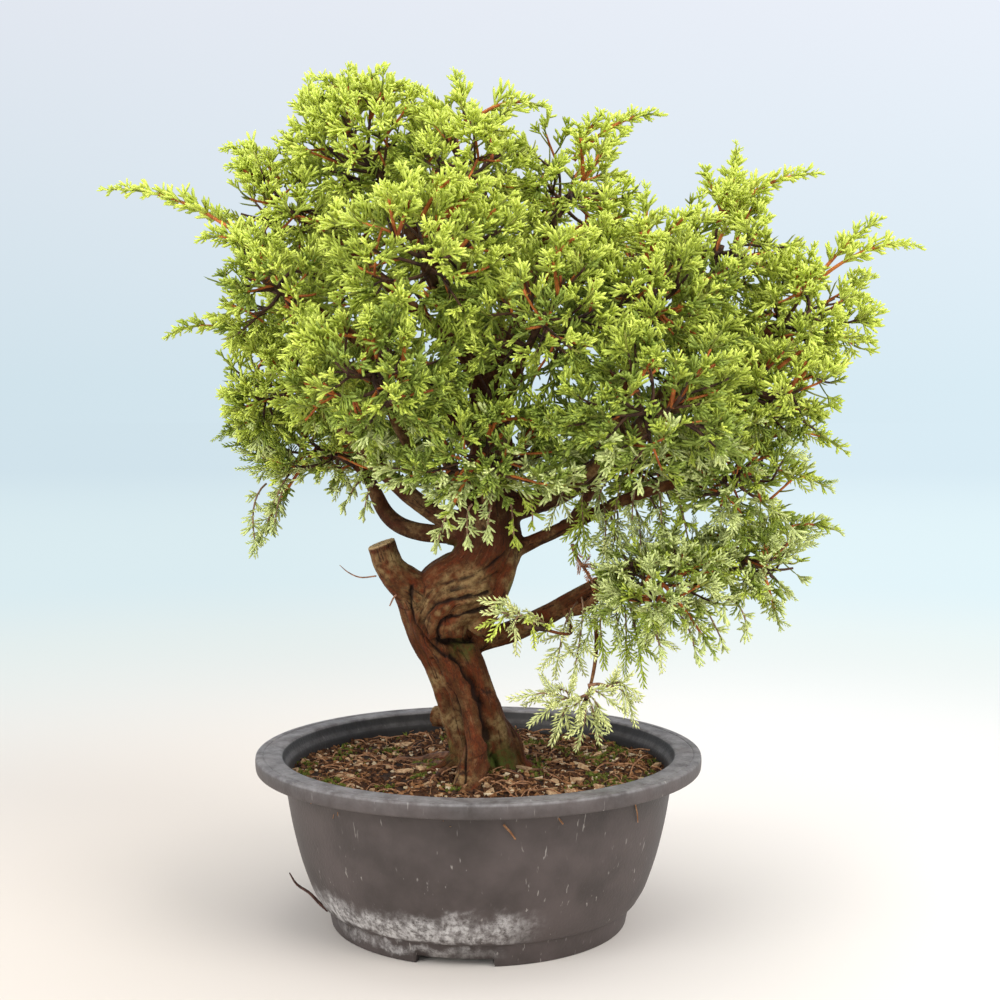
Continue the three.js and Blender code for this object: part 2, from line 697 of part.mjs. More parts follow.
function grownMass(mass, random) {
  const stem = stemOf(mass);
  const stemCurve = new THREE.CubicBezierCurve3(
    stem.start,
    stem.start.clone().addScaledVector(stem.heading, 4),
    stem.start.clone().lerp(stem.end, 0.6),
    stem.end,
  );
  const parts = [
    coreGeometry(mass, random),
    bentTube(stemCurve, taper(stem.radius, TWIG_RADIUS), 5, 2),
  ];
  const room = (corners, besideShoot) =>
    corners.every((c) => keepsTo(mass, c, besideShoot) && clearOfLimbs(c, LIMB_ROOM));
  for (const twig of twigsOf(mass, stem, random)) {
    const sprays = spraysOf(mass, twig, random);
    const middle = twig.start.clone().lerp(twig.end, 0.7);
    if (!room([twig.end, middle], false)) continue;
    parts.push(twigTube(twig.start, twig.end, TWIG_RADIUS, 0.7 * TWIG_RADIUS));
    for (const spray of sprays) {
      const blade = fittedBlade(spray, (corners) => room(corners, false));
      if (blade) parts.push(blade);
    }
  }
  for (const tip of mass.tips) {
    const shootEnd = tip.clone().sub(stem.end).setLength(0.6 * SHOOT_SPRAY).negate().add(tip);
    parts.push(twigTube(stem.end, shootEnd, SHOOT_RADIUS, 0.6 * SHOOT_RADIUS));
    for (const spray of shootSprays(stem.end, tip, random)) {
      const blade = placedSpray(spray);
      if (room(cornersOf(blade), true)) parts.push(blade);
    }
  }
  let solid = simpler(wasm.Manifold.union(parts.map(solidOf)), SMALLEST_EDGE);
  for (const name of Object.keys(limbs))
    if (boxesMeet(solid, clearance[name])) solid = solid.subtract(clearance[name]);
  return biggestPiece(solid);
}

// A mass whose surface touches itself is grown again from the next seed
function massSolid(mass) {
  for (let seed = mass.seed; seed < mass.seed + 17; seed++) {
    const solid = grownMass(mass, seeded(seed));
    if (!touchesItself(solid)) return solid;
  }
  throw new Error(`${mass.name} touches itself along an edge`);
}

function boxesMeet(a, b) {
  const [p, q] = [a.boundingBox(), b.boundingBox()];
  return [0, 1, 2].every((i) => p.min[i] < q.max[i] && q.min[i] < p.max[i]);
}

// Everything is grown, then each solid becomes a mesh of its own
const clearance = { trunk: trunkSolid(CUT_GAP) };
for (const name of Object.keys(LIMBS)) clearance[name] = limbTube(name, CUT_GAP);

const group = new THREE.Group();
function addPart(name, solid, material) {
  const mesh = new THREE.Mesh(geometryOf(solid), material);
  mesh.name = name;
  group.add(mesh);
}

addPart("pot", potSolid(), FINISHES.pot);
addPart("soil", soilSolid(), FINISHES.soil);
addPart("trunk", trunkSolid(), FINISHES.bark);
const grown = ["trunk"];
for (const name of Object.keys(LIMBS)) {
  let limb = limbTube(name);
  for (const earlier of grown)
    if (boxesMeet(limb, clearance[earlier])) limb = limb.subtract(clearance[earlier]);
  addPart(`bough_${name}`, biggestPiece(limb), FINISHES.bark);
  grown.push(name);
}
for (const mass of masses)
  addPart(`foliage_${mass.name}`, massSolid(mass), FINISHES.foliage);

// The box's middle goes over the origin, and the pot's foot stays at z = 0
const middle = new THREE.Box3().setFromObject(group).getCenter(new THREE.Vector3());
group.position.set(-middle.x, -middle.y, 0);

export default group;
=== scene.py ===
"""A Chinese juniper bonsai of the fine-leaved Itoigawa kind, in a round plastic training pot.

While a piece is worked out, its sizes are millimetres from the pot's axis, with the front of the
tree towards -Y. They become Blender's metres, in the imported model's frame, where a mesh is made.
"""

import json
import math

import bpy
import numpy as np
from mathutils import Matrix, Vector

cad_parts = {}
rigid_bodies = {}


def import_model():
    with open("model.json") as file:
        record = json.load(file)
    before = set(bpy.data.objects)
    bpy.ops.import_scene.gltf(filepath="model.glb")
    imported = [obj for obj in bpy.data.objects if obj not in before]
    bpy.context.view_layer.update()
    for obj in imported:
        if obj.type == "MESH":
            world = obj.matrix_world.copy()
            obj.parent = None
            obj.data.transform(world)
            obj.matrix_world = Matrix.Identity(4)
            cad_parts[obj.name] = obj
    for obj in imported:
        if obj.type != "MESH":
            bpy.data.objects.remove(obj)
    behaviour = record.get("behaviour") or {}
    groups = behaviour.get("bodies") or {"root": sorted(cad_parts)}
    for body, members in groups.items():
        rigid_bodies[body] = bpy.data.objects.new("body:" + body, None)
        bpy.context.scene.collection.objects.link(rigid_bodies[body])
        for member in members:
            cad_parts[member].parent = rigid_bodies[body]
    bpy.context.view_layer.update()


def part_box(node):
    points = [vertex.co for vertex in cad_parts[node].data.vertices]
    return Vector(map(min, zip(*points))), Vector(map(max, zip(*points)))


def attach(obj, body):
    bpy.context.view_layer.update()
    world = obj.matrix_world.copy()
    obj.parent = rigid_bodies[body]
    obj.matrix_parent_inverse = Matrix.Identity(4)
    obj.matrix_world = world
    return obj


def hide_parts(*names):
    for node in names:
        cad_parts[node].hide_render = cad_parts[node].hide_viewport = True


bl_info = {
    "name": "Juniper bonsai",
    "version": (1, 0, 0),
    "blender": (4, 5, 0),
    "location": "3D View > Sidebar > Bonsai",
    "description": "Pot, soil, bark, twigs and foliage of a juniper bonsai, with its studio stage",
    "category": "Add Mesh",
}

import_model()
POT_LOW, POT_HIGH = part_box("pot")
AXIS = np.array([(POT_LOW.x + POT_HIGH.x) / 2, (POT_LOW.y + POT_HIGH.y) / 2, 0.0])
RIM_RADIUS = (POT_HIGH.x - POT_LOW.x) / 2
RIM_TOP = POT_HIGH.z
SOIL_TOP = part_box("soil")[1].z

MM = 0.001
UP = np.array([0.0, 0.0, 1.0])
GOLDEN_ANGLE = math.pi * (3 - math.sqrt(5))

# Stations along the trunk, along a limb, root or vein, and along a bare twig
TRUNK_STATIONS = 241
LINE_STATIONS = 41
TWIG_STATIONS = 13

# How many places are measured against the lines at a time
BATCH = 4000

# What every random draw starts from
MASS_SEED = 101
SPRIG_SEED = 77
FAN_SEED = 900
FEATHER_SEED = 940
ROOT_SEED = 300

# Pot: its foot ring with three drain notches, whose turns are in degrees
FOOT_RADIUS = 66.4
FOOT_WALL = 3.4
NOTCH_TURNS = [-98, 22, 142]
NOTCH_WIDTH = 33
NOTCH_HEIGHT = 3.6

# Lime on the pot, in metres above the table: where its band fades in and out, and the same for the
# thin line below it
LIME_BAND = ((0.0095, 0.0135), (0.0262, 0.0175))
LIME_LINE = ((0.0015, 0.004), (0.0085, 0.0055))

# Soil: how far out it reaches, how wide its lumps are, and the mound round the trunk
SOIL_RADIUS = 84.6
SOIL_LUMPS = 9
MOUND_HEIGHT = 2.6
MOUND_REACH = 30

# What lies on the soil, piece by piece: the setting that says how much of it there is and its share
# of that, its smallest and largest size, how far it tilts, how many forms it has, and its colours
LITTER = {
    "dark_chips": ("chips", 0.7, (0.45, 1.15), 0.55, 6, (40, 23, 13), (106, 68, 41)),
    "brown_chips": ("chips", 0.36, (0.4, 1.05), 0.6, 6, (116, 74, 42), (172, 126, 84)),
    "pale_chips": ("chips", 0.13, (0.4, 1.0), 0.4, 5, (186, 160, 122), (232, 214, 182)),
    "big_chips": ("chips", 0.025, (1.2, 2.0), 0.3, 4, (168, 128, 92), (214, 182, 140)),
    "rootlets": ("fibres", 1, (0.5, 1.3), 0.35, 5, (138, 94, 62), (186, 140, 104)),
    "soil_moss": ("moss", 1, (0.8, 1.9), 0.3, 3, (76, 84, 28), (130, 138, 58)),
}

# Trunk: its middle line from the soil, left to the knee, back to the right and up, with its radius
TRUNK_LINE = [
    (6, 0, 58, 17), (3, 1, 74, 15.2), (-4, 2, 96, 14), (-11, 3, 116, 13.8), (-17.5, 1, 133, 14.6),
    (-15, -3, 147, 15), (-2.5, -4, 157, 13.6), (4.5, -2, 168, 13.8), (4, 1, 181, 13.6), (4, 4, 196, 11),
    (6, 6, 216, 8.6), (2, 7, 240, 7), (-8, 6, 265, 5.6), (-20, 3, 290, 4.2), (-33, -2, 315, 3),
]
TRUNK_SIDES = 48
FLUTES = 5
FLUTE_DEPTH = 0.07
FLUTE_TWIST = 2.4

# Surface roots: turn about the trunk's foot in degrees, reach from it and radius where it leaves
FOOT = np.array([4.0, 0.0, 67.0])
ROOTS = [(-102, 42, 5.6), (4, 21, 6), (198, 34, 3.8), (150, 30, 4.8), (92, 28, 5), (46, 25, 4.4)]
ROOT_CREST = 34
ROOT_TIP_SHARE = 0.6

# The sawn stub on the outside of the knee, and the knob low on the trunk's left
SAWN_STUB = [(-18, -3, 143, 9.6), (-29, -8, 150, 8.2), (-38.6, -10, 159, 6.6), (-43, -11, 170.6, 6.6)]
KNOB = [(-2, 3, 84, 5.5), (-10, 6, 87, 5), (-15, 9, 89, 5), (-21, 11, 89, 4.8)]

# Live veins: the swollen strands of bark that run from the roots up to the knee and round it,
# with the share of the trunk's own thickness that is left between them low down
VEINS = [
    [(-7.5, -37, 66, 4), (-4.5, -27, 72, 4.8), (-1.5, -18, 80, 5.4), (-2, -12, 90, 5.8), (-5.5, -10, 100, 6),
     (-10, -9.5, 110, 6), (-15.5, -9.5, 120, 6), (-22, -9.5, 130, 5.8), (-27, -9.5, 140, 5.4),
     (-30, -9.5, 148, 5), (-33, -9.5, 155, 4.6)],
    [(14, -3, 64, 5.6), (10.5, -4, 76, 5.6), (7.2, -5, 86, 5.6), (2, -5.5, 102, 5.6), (-4, -5, 118, 5.8),
     (-7, -5, 127, 5)],
    [(-6, -3, 66, 6), (-8.5, -3, 82, 5.2), (-13, -3, 94, 4.8), (-16, -3, 106, 4.8), (-19.4, -3, 116, 5),
     (-24.4, -2, 126, 6), (-28.5, -2, 137, 6.4), (-31.8, -5, 147, 6), (-35, -8, 156, 5)],
    [(8, 9, 64, 6.6), (3, 10, 84, 6.6), (-4, 11, 104, 6.2), (-13, 9, 122, 6)],
    [(-3, 12, 64, 6), (-8, 10, 84, 5), (-12, 9, 102, 4.8), (-19, 7, 120, 5)],
    [(-15, -13, 129, 5.4), (-19, -14.5, 137, 5.8), (-14, -16.5, 145, 5.8), (-4, -16.5, 149, 5),
     (6, -12.5, 153, 4.4)],
    [(-10, -13.5, 130, 4.4), (-10, -15.5, 137, 4.8), (-3, -15, 141, 4.6), (5, -12, 145, 4.2)],
    [(-1, -12, 131, 5), (3.4, -12.5, 139, 5), (8, -10.5, 148, 5), (12, -7, 160, 4.8), (12, -5, 172, 4.4)],
    [(-20, -8, 148, 4.4), (-10, -9, 155, 4.4), (-2, -12, 163, 4.6), (3, -12, 174, 4.4), (2, -10, 186, 4)],
]
BETWEEN_VEINS = 0.84
KNEE_LEVEL = 132
ROLL_WIDTH = 3.2

# Between these two levels the bark turns into the young, smooth bark above
SMOOTH_BARK = (160, 176)

# Folds and grooves of the front, seen square on: points (x, z), then how deep and how wide each is,
# and how far the bark rolls out beside it
FOLDS = [
    ([(-20.5, 119), (-14.2, 108.5), (-9, 99), (-7.6, 90), (-6, 80), (-5, 70)], 2.2, 0.8, 0),
    ([(-12, 121), (-3.4, 110), (1, 100), (3.6, 88), (5, 80), (8, 70)], 2.6, 1.0, 0),
    ([(4, 149), (-4, 147.6), (-11.5, 147.2), (-18.5, 144.6), (-23.3, 140), (-24.2, 136), (-22, 131)],
     2.6, 0.95, 1.2),
    ([(4, 143), (-3, 141.3), (-11.5, 139.3), (-16.3, 136.7), (-18.1, 133), (-17, 129)], 2.6, 0.95, 1.2),
    ([(-17, 153), (-9, 155), (-2.7, 156.5), (4.3, 160.8), (11.8, 166.5)], 1.6, 0.8, 0.7),
    ([(-29, 152), (-29.8, 143), (-27.6, 135), (-22, 126.5), (-14, 121)], 2.1, 0.9, 1.0),
    ([(-18, 128), (-13, 126.5), (-6, 126.6), (0, 127.5), (5, 130)], 3.0, 1.3, 0),
    ([(-12, 151), (-5, 152.5), (2, 154.5), (9, 158)], 1.6, 0.75, 0.6),
]

# Places, and how far each reaches. Moss lies in the crook under the knee, at the trunk's foot, round
# the roots and on the stub. Pale, worn bark shows on the knee's rolls, the stub, the front root and
# the right-hand vein.
MOSS_SPOTS = [
    ((-6, -13, 125), 6), ((2, -12, 128), 5), ((9, -12, 74), 8), ((13, -8, 69), 8),
    ((-14, -3, 78), 5), ((-39, -6, 152), 5), ((-12, 0, 72), 8), ((15, -8, 150), 4),
    ((-12, -4, 166), 5), ((-24, 2, 108), 6),
]
PALE_SPOTS = [
    ((-15, -18, 145), 14), ((-4, -17, 151), 10), ((-8, -17, 137), 8), ((-39, -10, 163), 12),
    ((-31, -8, 153), 8), ((14, -7, 152), 9), ((13, -6, 164), 7), ((-6, -36, 68), 7),
    ((-16, -6, 88), 12), ((10, -9, 86), 8), ((-19, 10, 89), 11), ((-19, -8, 108), 6),
    ((-41, -13, 164), 10), ((-4, -38, 70), 6),
]

# Sprigs that hang or stand by themselves: where they leave the tree, and their tips. The first bear
# scale foliage, the others young needles.
SCALY_SPRIGS = [
    ((-9, -44, 192), (-19, -32, 168)), ((-2, -50, 190), (-5, -42, 170)), ((6, -50, 190), (3, -44, 172)),
    ((14, -50, 190), (16, -42, 170)), ((20, -44, 194), (25, -36, 176)),
    ((-46, -2, 196), (-53, -10, 180)), ((-52, 2, 198), (-62, -8, 184)), ((-96, 6, 196), (-102, 0, 164)),
    ((-88, 6, 194), (-93, -2, 172)), ((-86, 8, 200), (-98, 2, 172)), ((62, -14, 196), (58, -22, 176)),
    ((70, -14, 198), (66, -24, 172)), ((78, -14, 198), (80, -26, 170)),
    ((86, -16, 196), (92, -28, 168)), ((74, -6, 192), (86, -10, 172)), ((56, -12, 196), (50, -18, 180)),
    ((88, -22, 140), (97, -26, 118)), ((98, -18, 144), (110, -22, 122)),
    ((108, -12, 146), (122, -18, 127)), ((76, -24, 138), (81, -28, 120)),
]
NEEDLED_SPRIGS = [
    ((40, -10, 196), (31, -20, 182)), ((46, -10, 194), (46, -22, 172)), ((54, -8, 190), (55, -20, 160)),
    ((60, -8, 188), (62, -20, 166)), ((68, -10, 188), (72, -22, 164)), ((76, -10, 190), (82, -24, 166)),
    ((50, -6, 186), (42, -16, 170)), ((62, 0, 184), (58, -8, 160)), ((44, -8, 144), (33, -18, 115)),
    ((46, -8, 146), (42, -20, 111)), ((56, -10, 146), (53, -24, 124)), ((64, -10, 146), (65, -22, 117)),
    ((66, -10, 146), (72, -24, 114)), ((72, -12, 146), (81, -26, 121)),
    ((52, -10, 140), (47, -22, 128)), ((60, -10, 148), (61, -26, 131)),
]

# The young growth of the hanging tuft and of the sprig before the knee: stems from their own twigs
TUFT_STEMS = [
    ((40, -22, 103), (18.6, -26, 107)), ((40, -22, 103), (25, -30, 97.5)),
    ((41, -23, 103), (33, -32, 91)), ((40, -22, 103), (30, -18, 111)), ((46, -24, 103), (45, -26, 83)),
    ((47, -23, 104), (53, -30, 89)), ((47, -23, 104), (57, -31, 97)), ((48, -22, 107), (61, -28, 103)),
    ((57.5, -22, 108.5), (71, -26, 97.5)), ((57.5, -22, 108.5), (71, -22, 108)),
    ((57.5, -22, 108.5), (63, -18, 115)), ((45, -23, 104), (38, -34, 99)),
]
KNEE_STEMS = [
    ((31, -22, 135), (17.5, -31, 142.5)), ((18, -31, 142), (1, -31, 137)),
    ((18, -31, 142), (6.5, -30, 150)), ((19, -31, 141), (12.5, -34, 130)),
    ((17, -31, 142), (4, -36, 143.5)), ((23, -28, 140), (26, -34, 131)),
    ((30, -24, 136), (34, -32, 134)),
]

# Open sky between the masses, as it shows from EYE: where (x, z) and how far it reaches
EYE = np.array([9.6, -680.0, 227.0])
OPEN_SKY = np.array([
    (85, 338, 15), (78, 316, 7), (70, 345, 9), (-98, 365, 15), (1, 376, 9), (30, 350, 8),
    (48, 351, 8), (137, 310, 8), (90, 318, 7), (-118, 306, 8), (-123, 331, 8), (-124, 296, 7),
    (-125, 227, 9), (-119, 244, 5), (143, 320, 12), (133, 335, 8), (162, 296, 6), (174, 239, 11),
    (166, 222, 8), (165, 196, 8), (159, 180, 8), (156, 157, 9), (38, 258, 4), (26, 240, 4),
    (-100, 252, 4), (158, 139, 9), (170, 265, 6), (156, 238, 7), (150, 218, 6), (144, 193, 8),
    (141, 155, 6), (-122, 283, 7), (-109, 321, 6), (5, 370, 8),
])

# Bare twigs: the snag under the right bough, the forks that carry the hanging tuft and the wiry ends
# by the stub
BARE_TWIGS = [
    [(42, 0, 169, 1), (43.5, -2, 164, 0.9), (48, -3, 157.4, 0.7), (51, -3, 152, 0.5), (54.5, -3, 147.5, 0.3)],
    [(46, -3, 160, 0.5), (50, -5, 160.5, 0.4), (53, -6, 158.5, 0.2)],
    [(47.7, -22, 105, 0.8), (44, -22, 103.6, 0.7), (40, -22, 103, 0.5)],
    [(47.9, -21.5, 109, 0.8), (53, -21.6, 109.6, 0.7), (57.5, -22, 108.5, 0.5)],
    [(-45, -12, 156, 0.4), (-52, -13, 155.5, 0.35), (-57, -13, 157.5, 0.3), (-61, -14, 161, 0.15)],
    [(-33, -10, 150, 0.5), (-37, -14, 147, 0.4), (-39, -15, 143, 0.3)],
]

# The dead rootlet that leans on the pot's foot
ROOTLET = [
    (-66.4, -20, 8.4, 0.8), (-70, -21, 12, 0.8), (-74.3, -22, 17, 0.7), (-80, -22, 21, 0.6),
    (-83, -22, 26, 0.3),
]

# Masses of foliage: the middle and half-sizes of the space each keeps to, and the tips of the long
# shoots that stand out of it
MASSES = {
    "crown_top": ((-54, -8, 349), (37, 35, 31), [(-41, -10, 380), (-60, -12, 376), (-73, -10, 376)]),
    "top_middle": ((-5, -20, 338), (38, 35, 31), [(-10, -20, 376), (32, -24, 359)]),
    "top_left": ((-89, 4, 319), (33, 34, 32), [(-115, 0, 347)]),
    "left_upper": ((-91, -30, 283), (32, 32, 27), [(-162, -24, 325), (-120, -34, 302)]),
    "left_middle": ((-86, -12, 242), (36, 34, 26), [(-137, -18, 263)]),
    "left_low": ((-74, 14, 212), (42, 34, 20), [(-103, 4, 163), (-120, 6, 218)]),
    "left_front": ((-42, -66, 244), (44, 34, 32), [(-76, -90, 250)]),
    "middle_front": ((-22, -64, 292), (44, 34, 35), [(-2, -90, 318)]),
    "top_right": ((42, -4, 326), (37, 35, 32), [(56, -10, 361), (83, -8, 360)]),
    "heart": ((28, -58, 268), (41, 34, 35), [(48, -88, 300)]),
    "skirt_front": ((3, -52, 211), (46, 30, 26), [(36, -74, 218), (-14, -64, 180)]),
    "right_heart": ((74, -38, 280), (42, 36, 36), [(70, -40, 324), (92, -56, 312)]),
    "right_top": ((108, -2, 302), (37, 36, 33), [(114, -6, 348), (152, -8, 334), (97, -8, 338)]),
    "right_upper": ((146, -8, 272), (33, 34, 28), [(196, -10, 302), (178, -8, 315)]),
    "right_middle": ((129, -24, 237), (35, 34, 25), [(173, -22, 260)]),
    "right_front": ((72, -68, 232), (44, 34, 34), [(62, -92, 264)]),
    "right_low": ((114, -20, 200), (36, 34, 25), [(163, -18, 212), (156, -20, 195)]),
    "right_foot": ((126, -2, 162), (34, 33, 20), [(164, -2, 176), (135, -8, 130)]),
    "right_skirt": ((80, -22, 154), (34, 28, 24), [(104, -26, 121), (70, -26, 124)]),
    "hanging_tuft": ((44, -24, 97), (20, 15, 13), [(24, -26, 104), (71, -24, 101), (46, -26, 82)]),
    "knee_sprig": ((20, -30, 136), (17, 11, 10), [(4, -32, 139)]),
    "back_top": ((-34, 50, 324), (44, 35, 36), [(-40, 62, 360)]),
    "back_left": ((-76, 58, 274), (44, 36, 36), [(-112, 72, 298)]),
    "back_left_low": ((-44, 66, 228), (43, 34, 29), [(-78, 86, 226)]),
    "back_middle": ((14, 68, 284), (45, 36, 37), [(10, 100, 310)]),
    "back_right_top": ((76, 52, 292), (43, 36, 36), [(92, 66, 328)]),
    "back_right": ((120, 50, 248), (42, 36, 34), [(156, 66, 264)]),
    "back_right_low": ((76, 62, 206), (45, 34, 29), [(112, 82, 198)]),
}

# Limbs: what each grows from and where along it, its two radii, the pull it leaves with and the
# pull it arrives with. It ends in the near side of the mass that has its name.
LIMBS = {
    "left_low": ("trunk", 0.465, (4.4, 2.6), (-58, -2, -6), (-16, 3, 14)),
    "left_middle": ("trunk", 0.475, (5.2, 2.4), (-30, 0, -2), (-26, -2, 24)),
    "left_front": ("trunk", 0.5, (4.4, 2.2), (-20, -16, 8), (-6, -16, 18)),
    "left_upper": ("trunk", 0.62, (4, 2), (-26, -6, 10), (-28, -8, 16)),
    "top_left": ("trunk", 0.76, (3.4, 1.8), (-24, 0, 14), (-22, 2, 12)),
    "top_middle": ("trunk", 0.8, (3.2, 1.8), (8, -6, 16), (4, -6, 20)),
    "top_right": ("trunk", 0.7, (4, 1.8), (18, -2, 20), (12, -2, 24)),
    "middle_front": ("trunk", 0.66, (3.4, 1.8), (-4, -20, 10), (-4, -20, 12)),
    "heart": ("trunk", 0.59, (3.8, 1.8), (6, -18, 14), (8, -18, 18)),
    "skirt_front": ("trunk", 0.5, (3.8, 2), (2, -16, 0), (0, -14, 6)),
    "right_upper": ("trunk", 0.51, (6.2, 2.4), (40, -4, -10), (42, 0, 22)),
    "right_top": ("right_upper", 0.52, (3.8, 1.8), (16, 4, 22), (8, 0, 26)),
    "right_heart": ("right_upper", 0.36, (3.6, 1.8), (8, -10, 22), (6, -10, 20)),
    "right_middle": ("right_upper", 0.64, (3.4, 1.8), (18, -8, 2), (18, -2, 4)),
    "right_front": ("right_upper", 0.24, (3.4, 1.8), (8, -18, 6), (4, -16, 8)),
    "right_low": ("trunk", 0.42, (3.4, 2.2), (30, 2, 7), (30, -6, 4)),
    "right_foot": ("trunk", 0.265, (5.8, 2.6), (38, 6, -17), (42, 0, -10)),
    "right_skirt": ("right_foot", 0.42, (2.8, 1.6), (18, -8, -2), (14, -6, 3)),
    "hanging_tuft": ("right_foot", 0.55, (1.9, 1.1), (2, -14, -14), (-6, -4, -18)),
    "knee_sprig": ("right_foot", 0.44, (1.7, 1), (4, -20, -10), (-14, -2, 4)),
    "back_top": ("trunk", 0.74, (3.2, 1.8), (-2, 16, 14), (-4, 18, 16)),
    "back_left": ("trunk", 0.6, (4, 2), (-18, 16, 8), (-20, 16, 14)),
    "back_left_low": ("trunk", 0.5, (3.8, 1.8), (-12, 18, 2), (-12, 18, 6)),
    "back_middle": ("trunk", 0.57, (4, 2), (2, 18, 12), (4, 20, 16)),
    "back_right_top": ("right_upper", 0.44, (3.6, 1.8), (4, 18, 18), (4, 16, 24)),
    "back_right": ("right_upper", 0.58, (3.4, 1.8), (10, 20, 6), (12, 18, 8)),
    "back_right_low": ("right_low", 0.4, (2.8, 1.8), (6, 22, 0), (10, 18, 4)),
}
ENTRY_SHARE = 0.6

# Thin roots that lie on the soil: where each starts and ends, and its radius
SURFACE_ROOTS = [
    ((-12, 8), (-50, 22), 2.7), ((-10, 0), (-40, 4), 2.0), ((-12, -12), (-30, -26), 1.5),
    ((-2, -30), (-14, -50), 1.1), ((12, -14), (24, -34), 1.3), ((16, -4), (40, -12), 1.2),
    ((10, 14), (26, 36), 1.8), ((-8, 14), (-24, 42), 1.6),
]

# The masses whose foliage is joined into one piece
FOLIAGE_PIECES = {
    "foliage_of_the_top": ["crown_top", "top_middle", "top_left", "top_right"],
    "foliage_of_the_left": ["left_upper", "left_middle", "left_low", "left_front"],
    "foliage_of_the_front": ["middle_front", "heart", "skirt_front", "right_heart"],
    "foliage_of_the_right": ["right_top", "right_upper", "right_middle", "right_front"],
    "foliage_of_the_low_right": ["right_low", "right_foot", "right_skirt", "hanging_tuft", "knee_sprig"],
    "foliage_of_the_back_left": ["back_top", "back_left", "back_left_low", "back_middle"],
    "foliage_of_the_back_right": ["back_right_top", "back_right", "back_right_low"],
}

# Masses of young needles only, whose boughs are slimmer than their solids, and masses with some
FEATHERY = ["hanging_tuft", "knee_sprig"]
PARTLY_FEATHERY = ["left_low", "right_low", "right_foot", "right_skirt"]
SLIM_SHARE = 0.6

# How a mass grows: twigs from its stem, plumes and leading shoots from the twigs, side shoots from
# the plumes, and sprays along them all. The edges are shares of a mass's half-sizes.
TWIGS_PER_MASS = 10
TWIG_REACH = 0.5
LEAST_TWIG = 0.18
TOWARDS_LIMB = 0.75
PLUMES_PER_MASS = 39
LEADERS_PER_MASS = 5
SIDE_SHOOT = 12.5
SIDE_STEP = 3.6
SPRAY_STEP = 4.0
SPRAY_REACH = 10.0
CROWN_EDGE = 1.12
MASS_EDGE = 1.2
CLEAR_OF_OTHERS = 1.06
CROWN_HEART = np.array([15.0, 0.0, 205.0])

# A plume is inside if it reaches less far than the first, or is deeper than the second in another
# mass. Of those a share is left out, and so is every plume with less than the least reach.
DEEP_REACH = 0.55
COVERED = 0.85
LEFT_OUT = 0.3
LEAST_REACH = 0.3

# Sprays: how many forms each kind has, and the greens, which are partly the foliage's own tones and
# partly painted light and shade. The painted light on a spray rises with its height above LIGHT_LEVEL,
# and below SHADE_LEVEL more and more sprays are grey.
FAN_KINDS = 5
FEATHER_KINDS = 2
TINTS = ["sunlit", "fresh", "deep", "grey", "pale", "dead"]
SUNLIT, FRESH, DEEP, GREY, PALE, DEAD = range(6)
LIGHT_LEVEL = 282
SHADE_LEVEL = 232

# The finishes of the wood that carries them: each name, colour and darker streaks
OLD_WOOD, YOUNG_WOOD, GREEN_WOOD, THIN_WOOD = range(4)
WOODS = [
    ("old twig bark", (92, 62, 44), (48, 30, 22)),
    ("young twig bark", (206, 118, 56), (150, 76, 38)),
    ("green twig", (150, 150, 66), (110, 122, 48)),
    ("thin twig bark", (158, 124, 98), (104, 74, 56)),
]

MASS_NAMES = list(MASSES)
MIDDLES = np.array([middle for middle, _, _ in MASSES.values()], float)
HALVES = np.array([half for _, half, _ in MASSES.values()], float)

# The lamps: where each stands, its size in metres, its power and its colour
LAMPS = {
    "key": ((1.55, -1.25, 1.4), 1.6, 34, (1.0, 0.98, 0.96)),
    "fill": ((-1.7, -1.4, 0.8), 1.6, 32, (0.97, 0.99, 1.0)),
    "top": ((0.1, 0.1, 2.4), 1.8, 18, (1.0, 1.0, 1.0)),
}

# The surround's brightness from one side to the other, which the floor's painted glow follows too: where
# it starts and ends, and both strengths
BRIGHTER_TO_THE_RIGHT = (-0.3, 0.3, 0.98, 1.07)


# Lines, forms and noise


def unit(ways):
    """The same directions, each one long."""
    return ways / np.maximum(np.linalg.norm(ways, axis=-1, keepdims=True), 1e-9)


def lattice_noise(places, seed=0):
    """Smooth noise from -1 to 1 at each place, with one value to each whole-numbered corner."""
    cells = np.floor(places).astype(np.int64)
    parts = places - cells
    ease = parts * parts * (3 - 2 * parts)
    total = np.zeros(len(places))
    for corner in np.ndindex(2, 2, 2):
        x, y, z = (cells + corner).T
        mixed = (x * 73856093) ^ (y * 19349663) ^ (z * 83492791) ^ (seed * 2654435761 + 97)
        mixed = ((mixed ^ (mixed >> 13)) * 1274126177) & 0x7FFFFFFF
        weight = np.prod(np.where(corner, ease, 1 - ease), axis=1)
        total += weight * ((mixed >> 9) % 65536) / 65535
    return 2 * total - 1


def between_places(wanted, known, places):
    """Places between others, at what is wanted of what is known at those."""
    return np.stack([np.interp(wanted, known, column) for column in places.T], axis=-1)


def cubic(start, first, last, end, count):
    """Places along the cubic curve of four points."""
    t = np.linspace(0, 1, count)[:, None]
    return (1 - t) ** 3 * start + 3 * (1 - t) ** 2 * t * first + 3 * (1 - t) * t**2 * last + t**3 * end


class Line:
    """A path through space with a radius, sampled evenly along its length."""

    def __init__(self, places, radii, count):
        steps = np.linalg.norm(np.diff(places, axis=0), axis=1)
        along = np.concatenate([[0], np.cumsum(steps)])
        self.length = along[-1]
        self.shares = np.linspace(0, 1, count)
        wanted = self.shares * self.length
        self.places = between_places(wanted, along, places)
        self.radii = np.interp(wanted, along, radii)
        self.headings = unit(np.gradient(self.places, axis=0))

    def at(self, share):
        """The place at a share of the line's length."""
        return between_places(share, self.shares, self.places)

    def part(self, start, end, count):
        """Places along a stretch of the line, and its radii there."""
        shares = np.linspace(start, end, count)
        return self.at(shares), np.interp(shares, self.shares, self.radii)


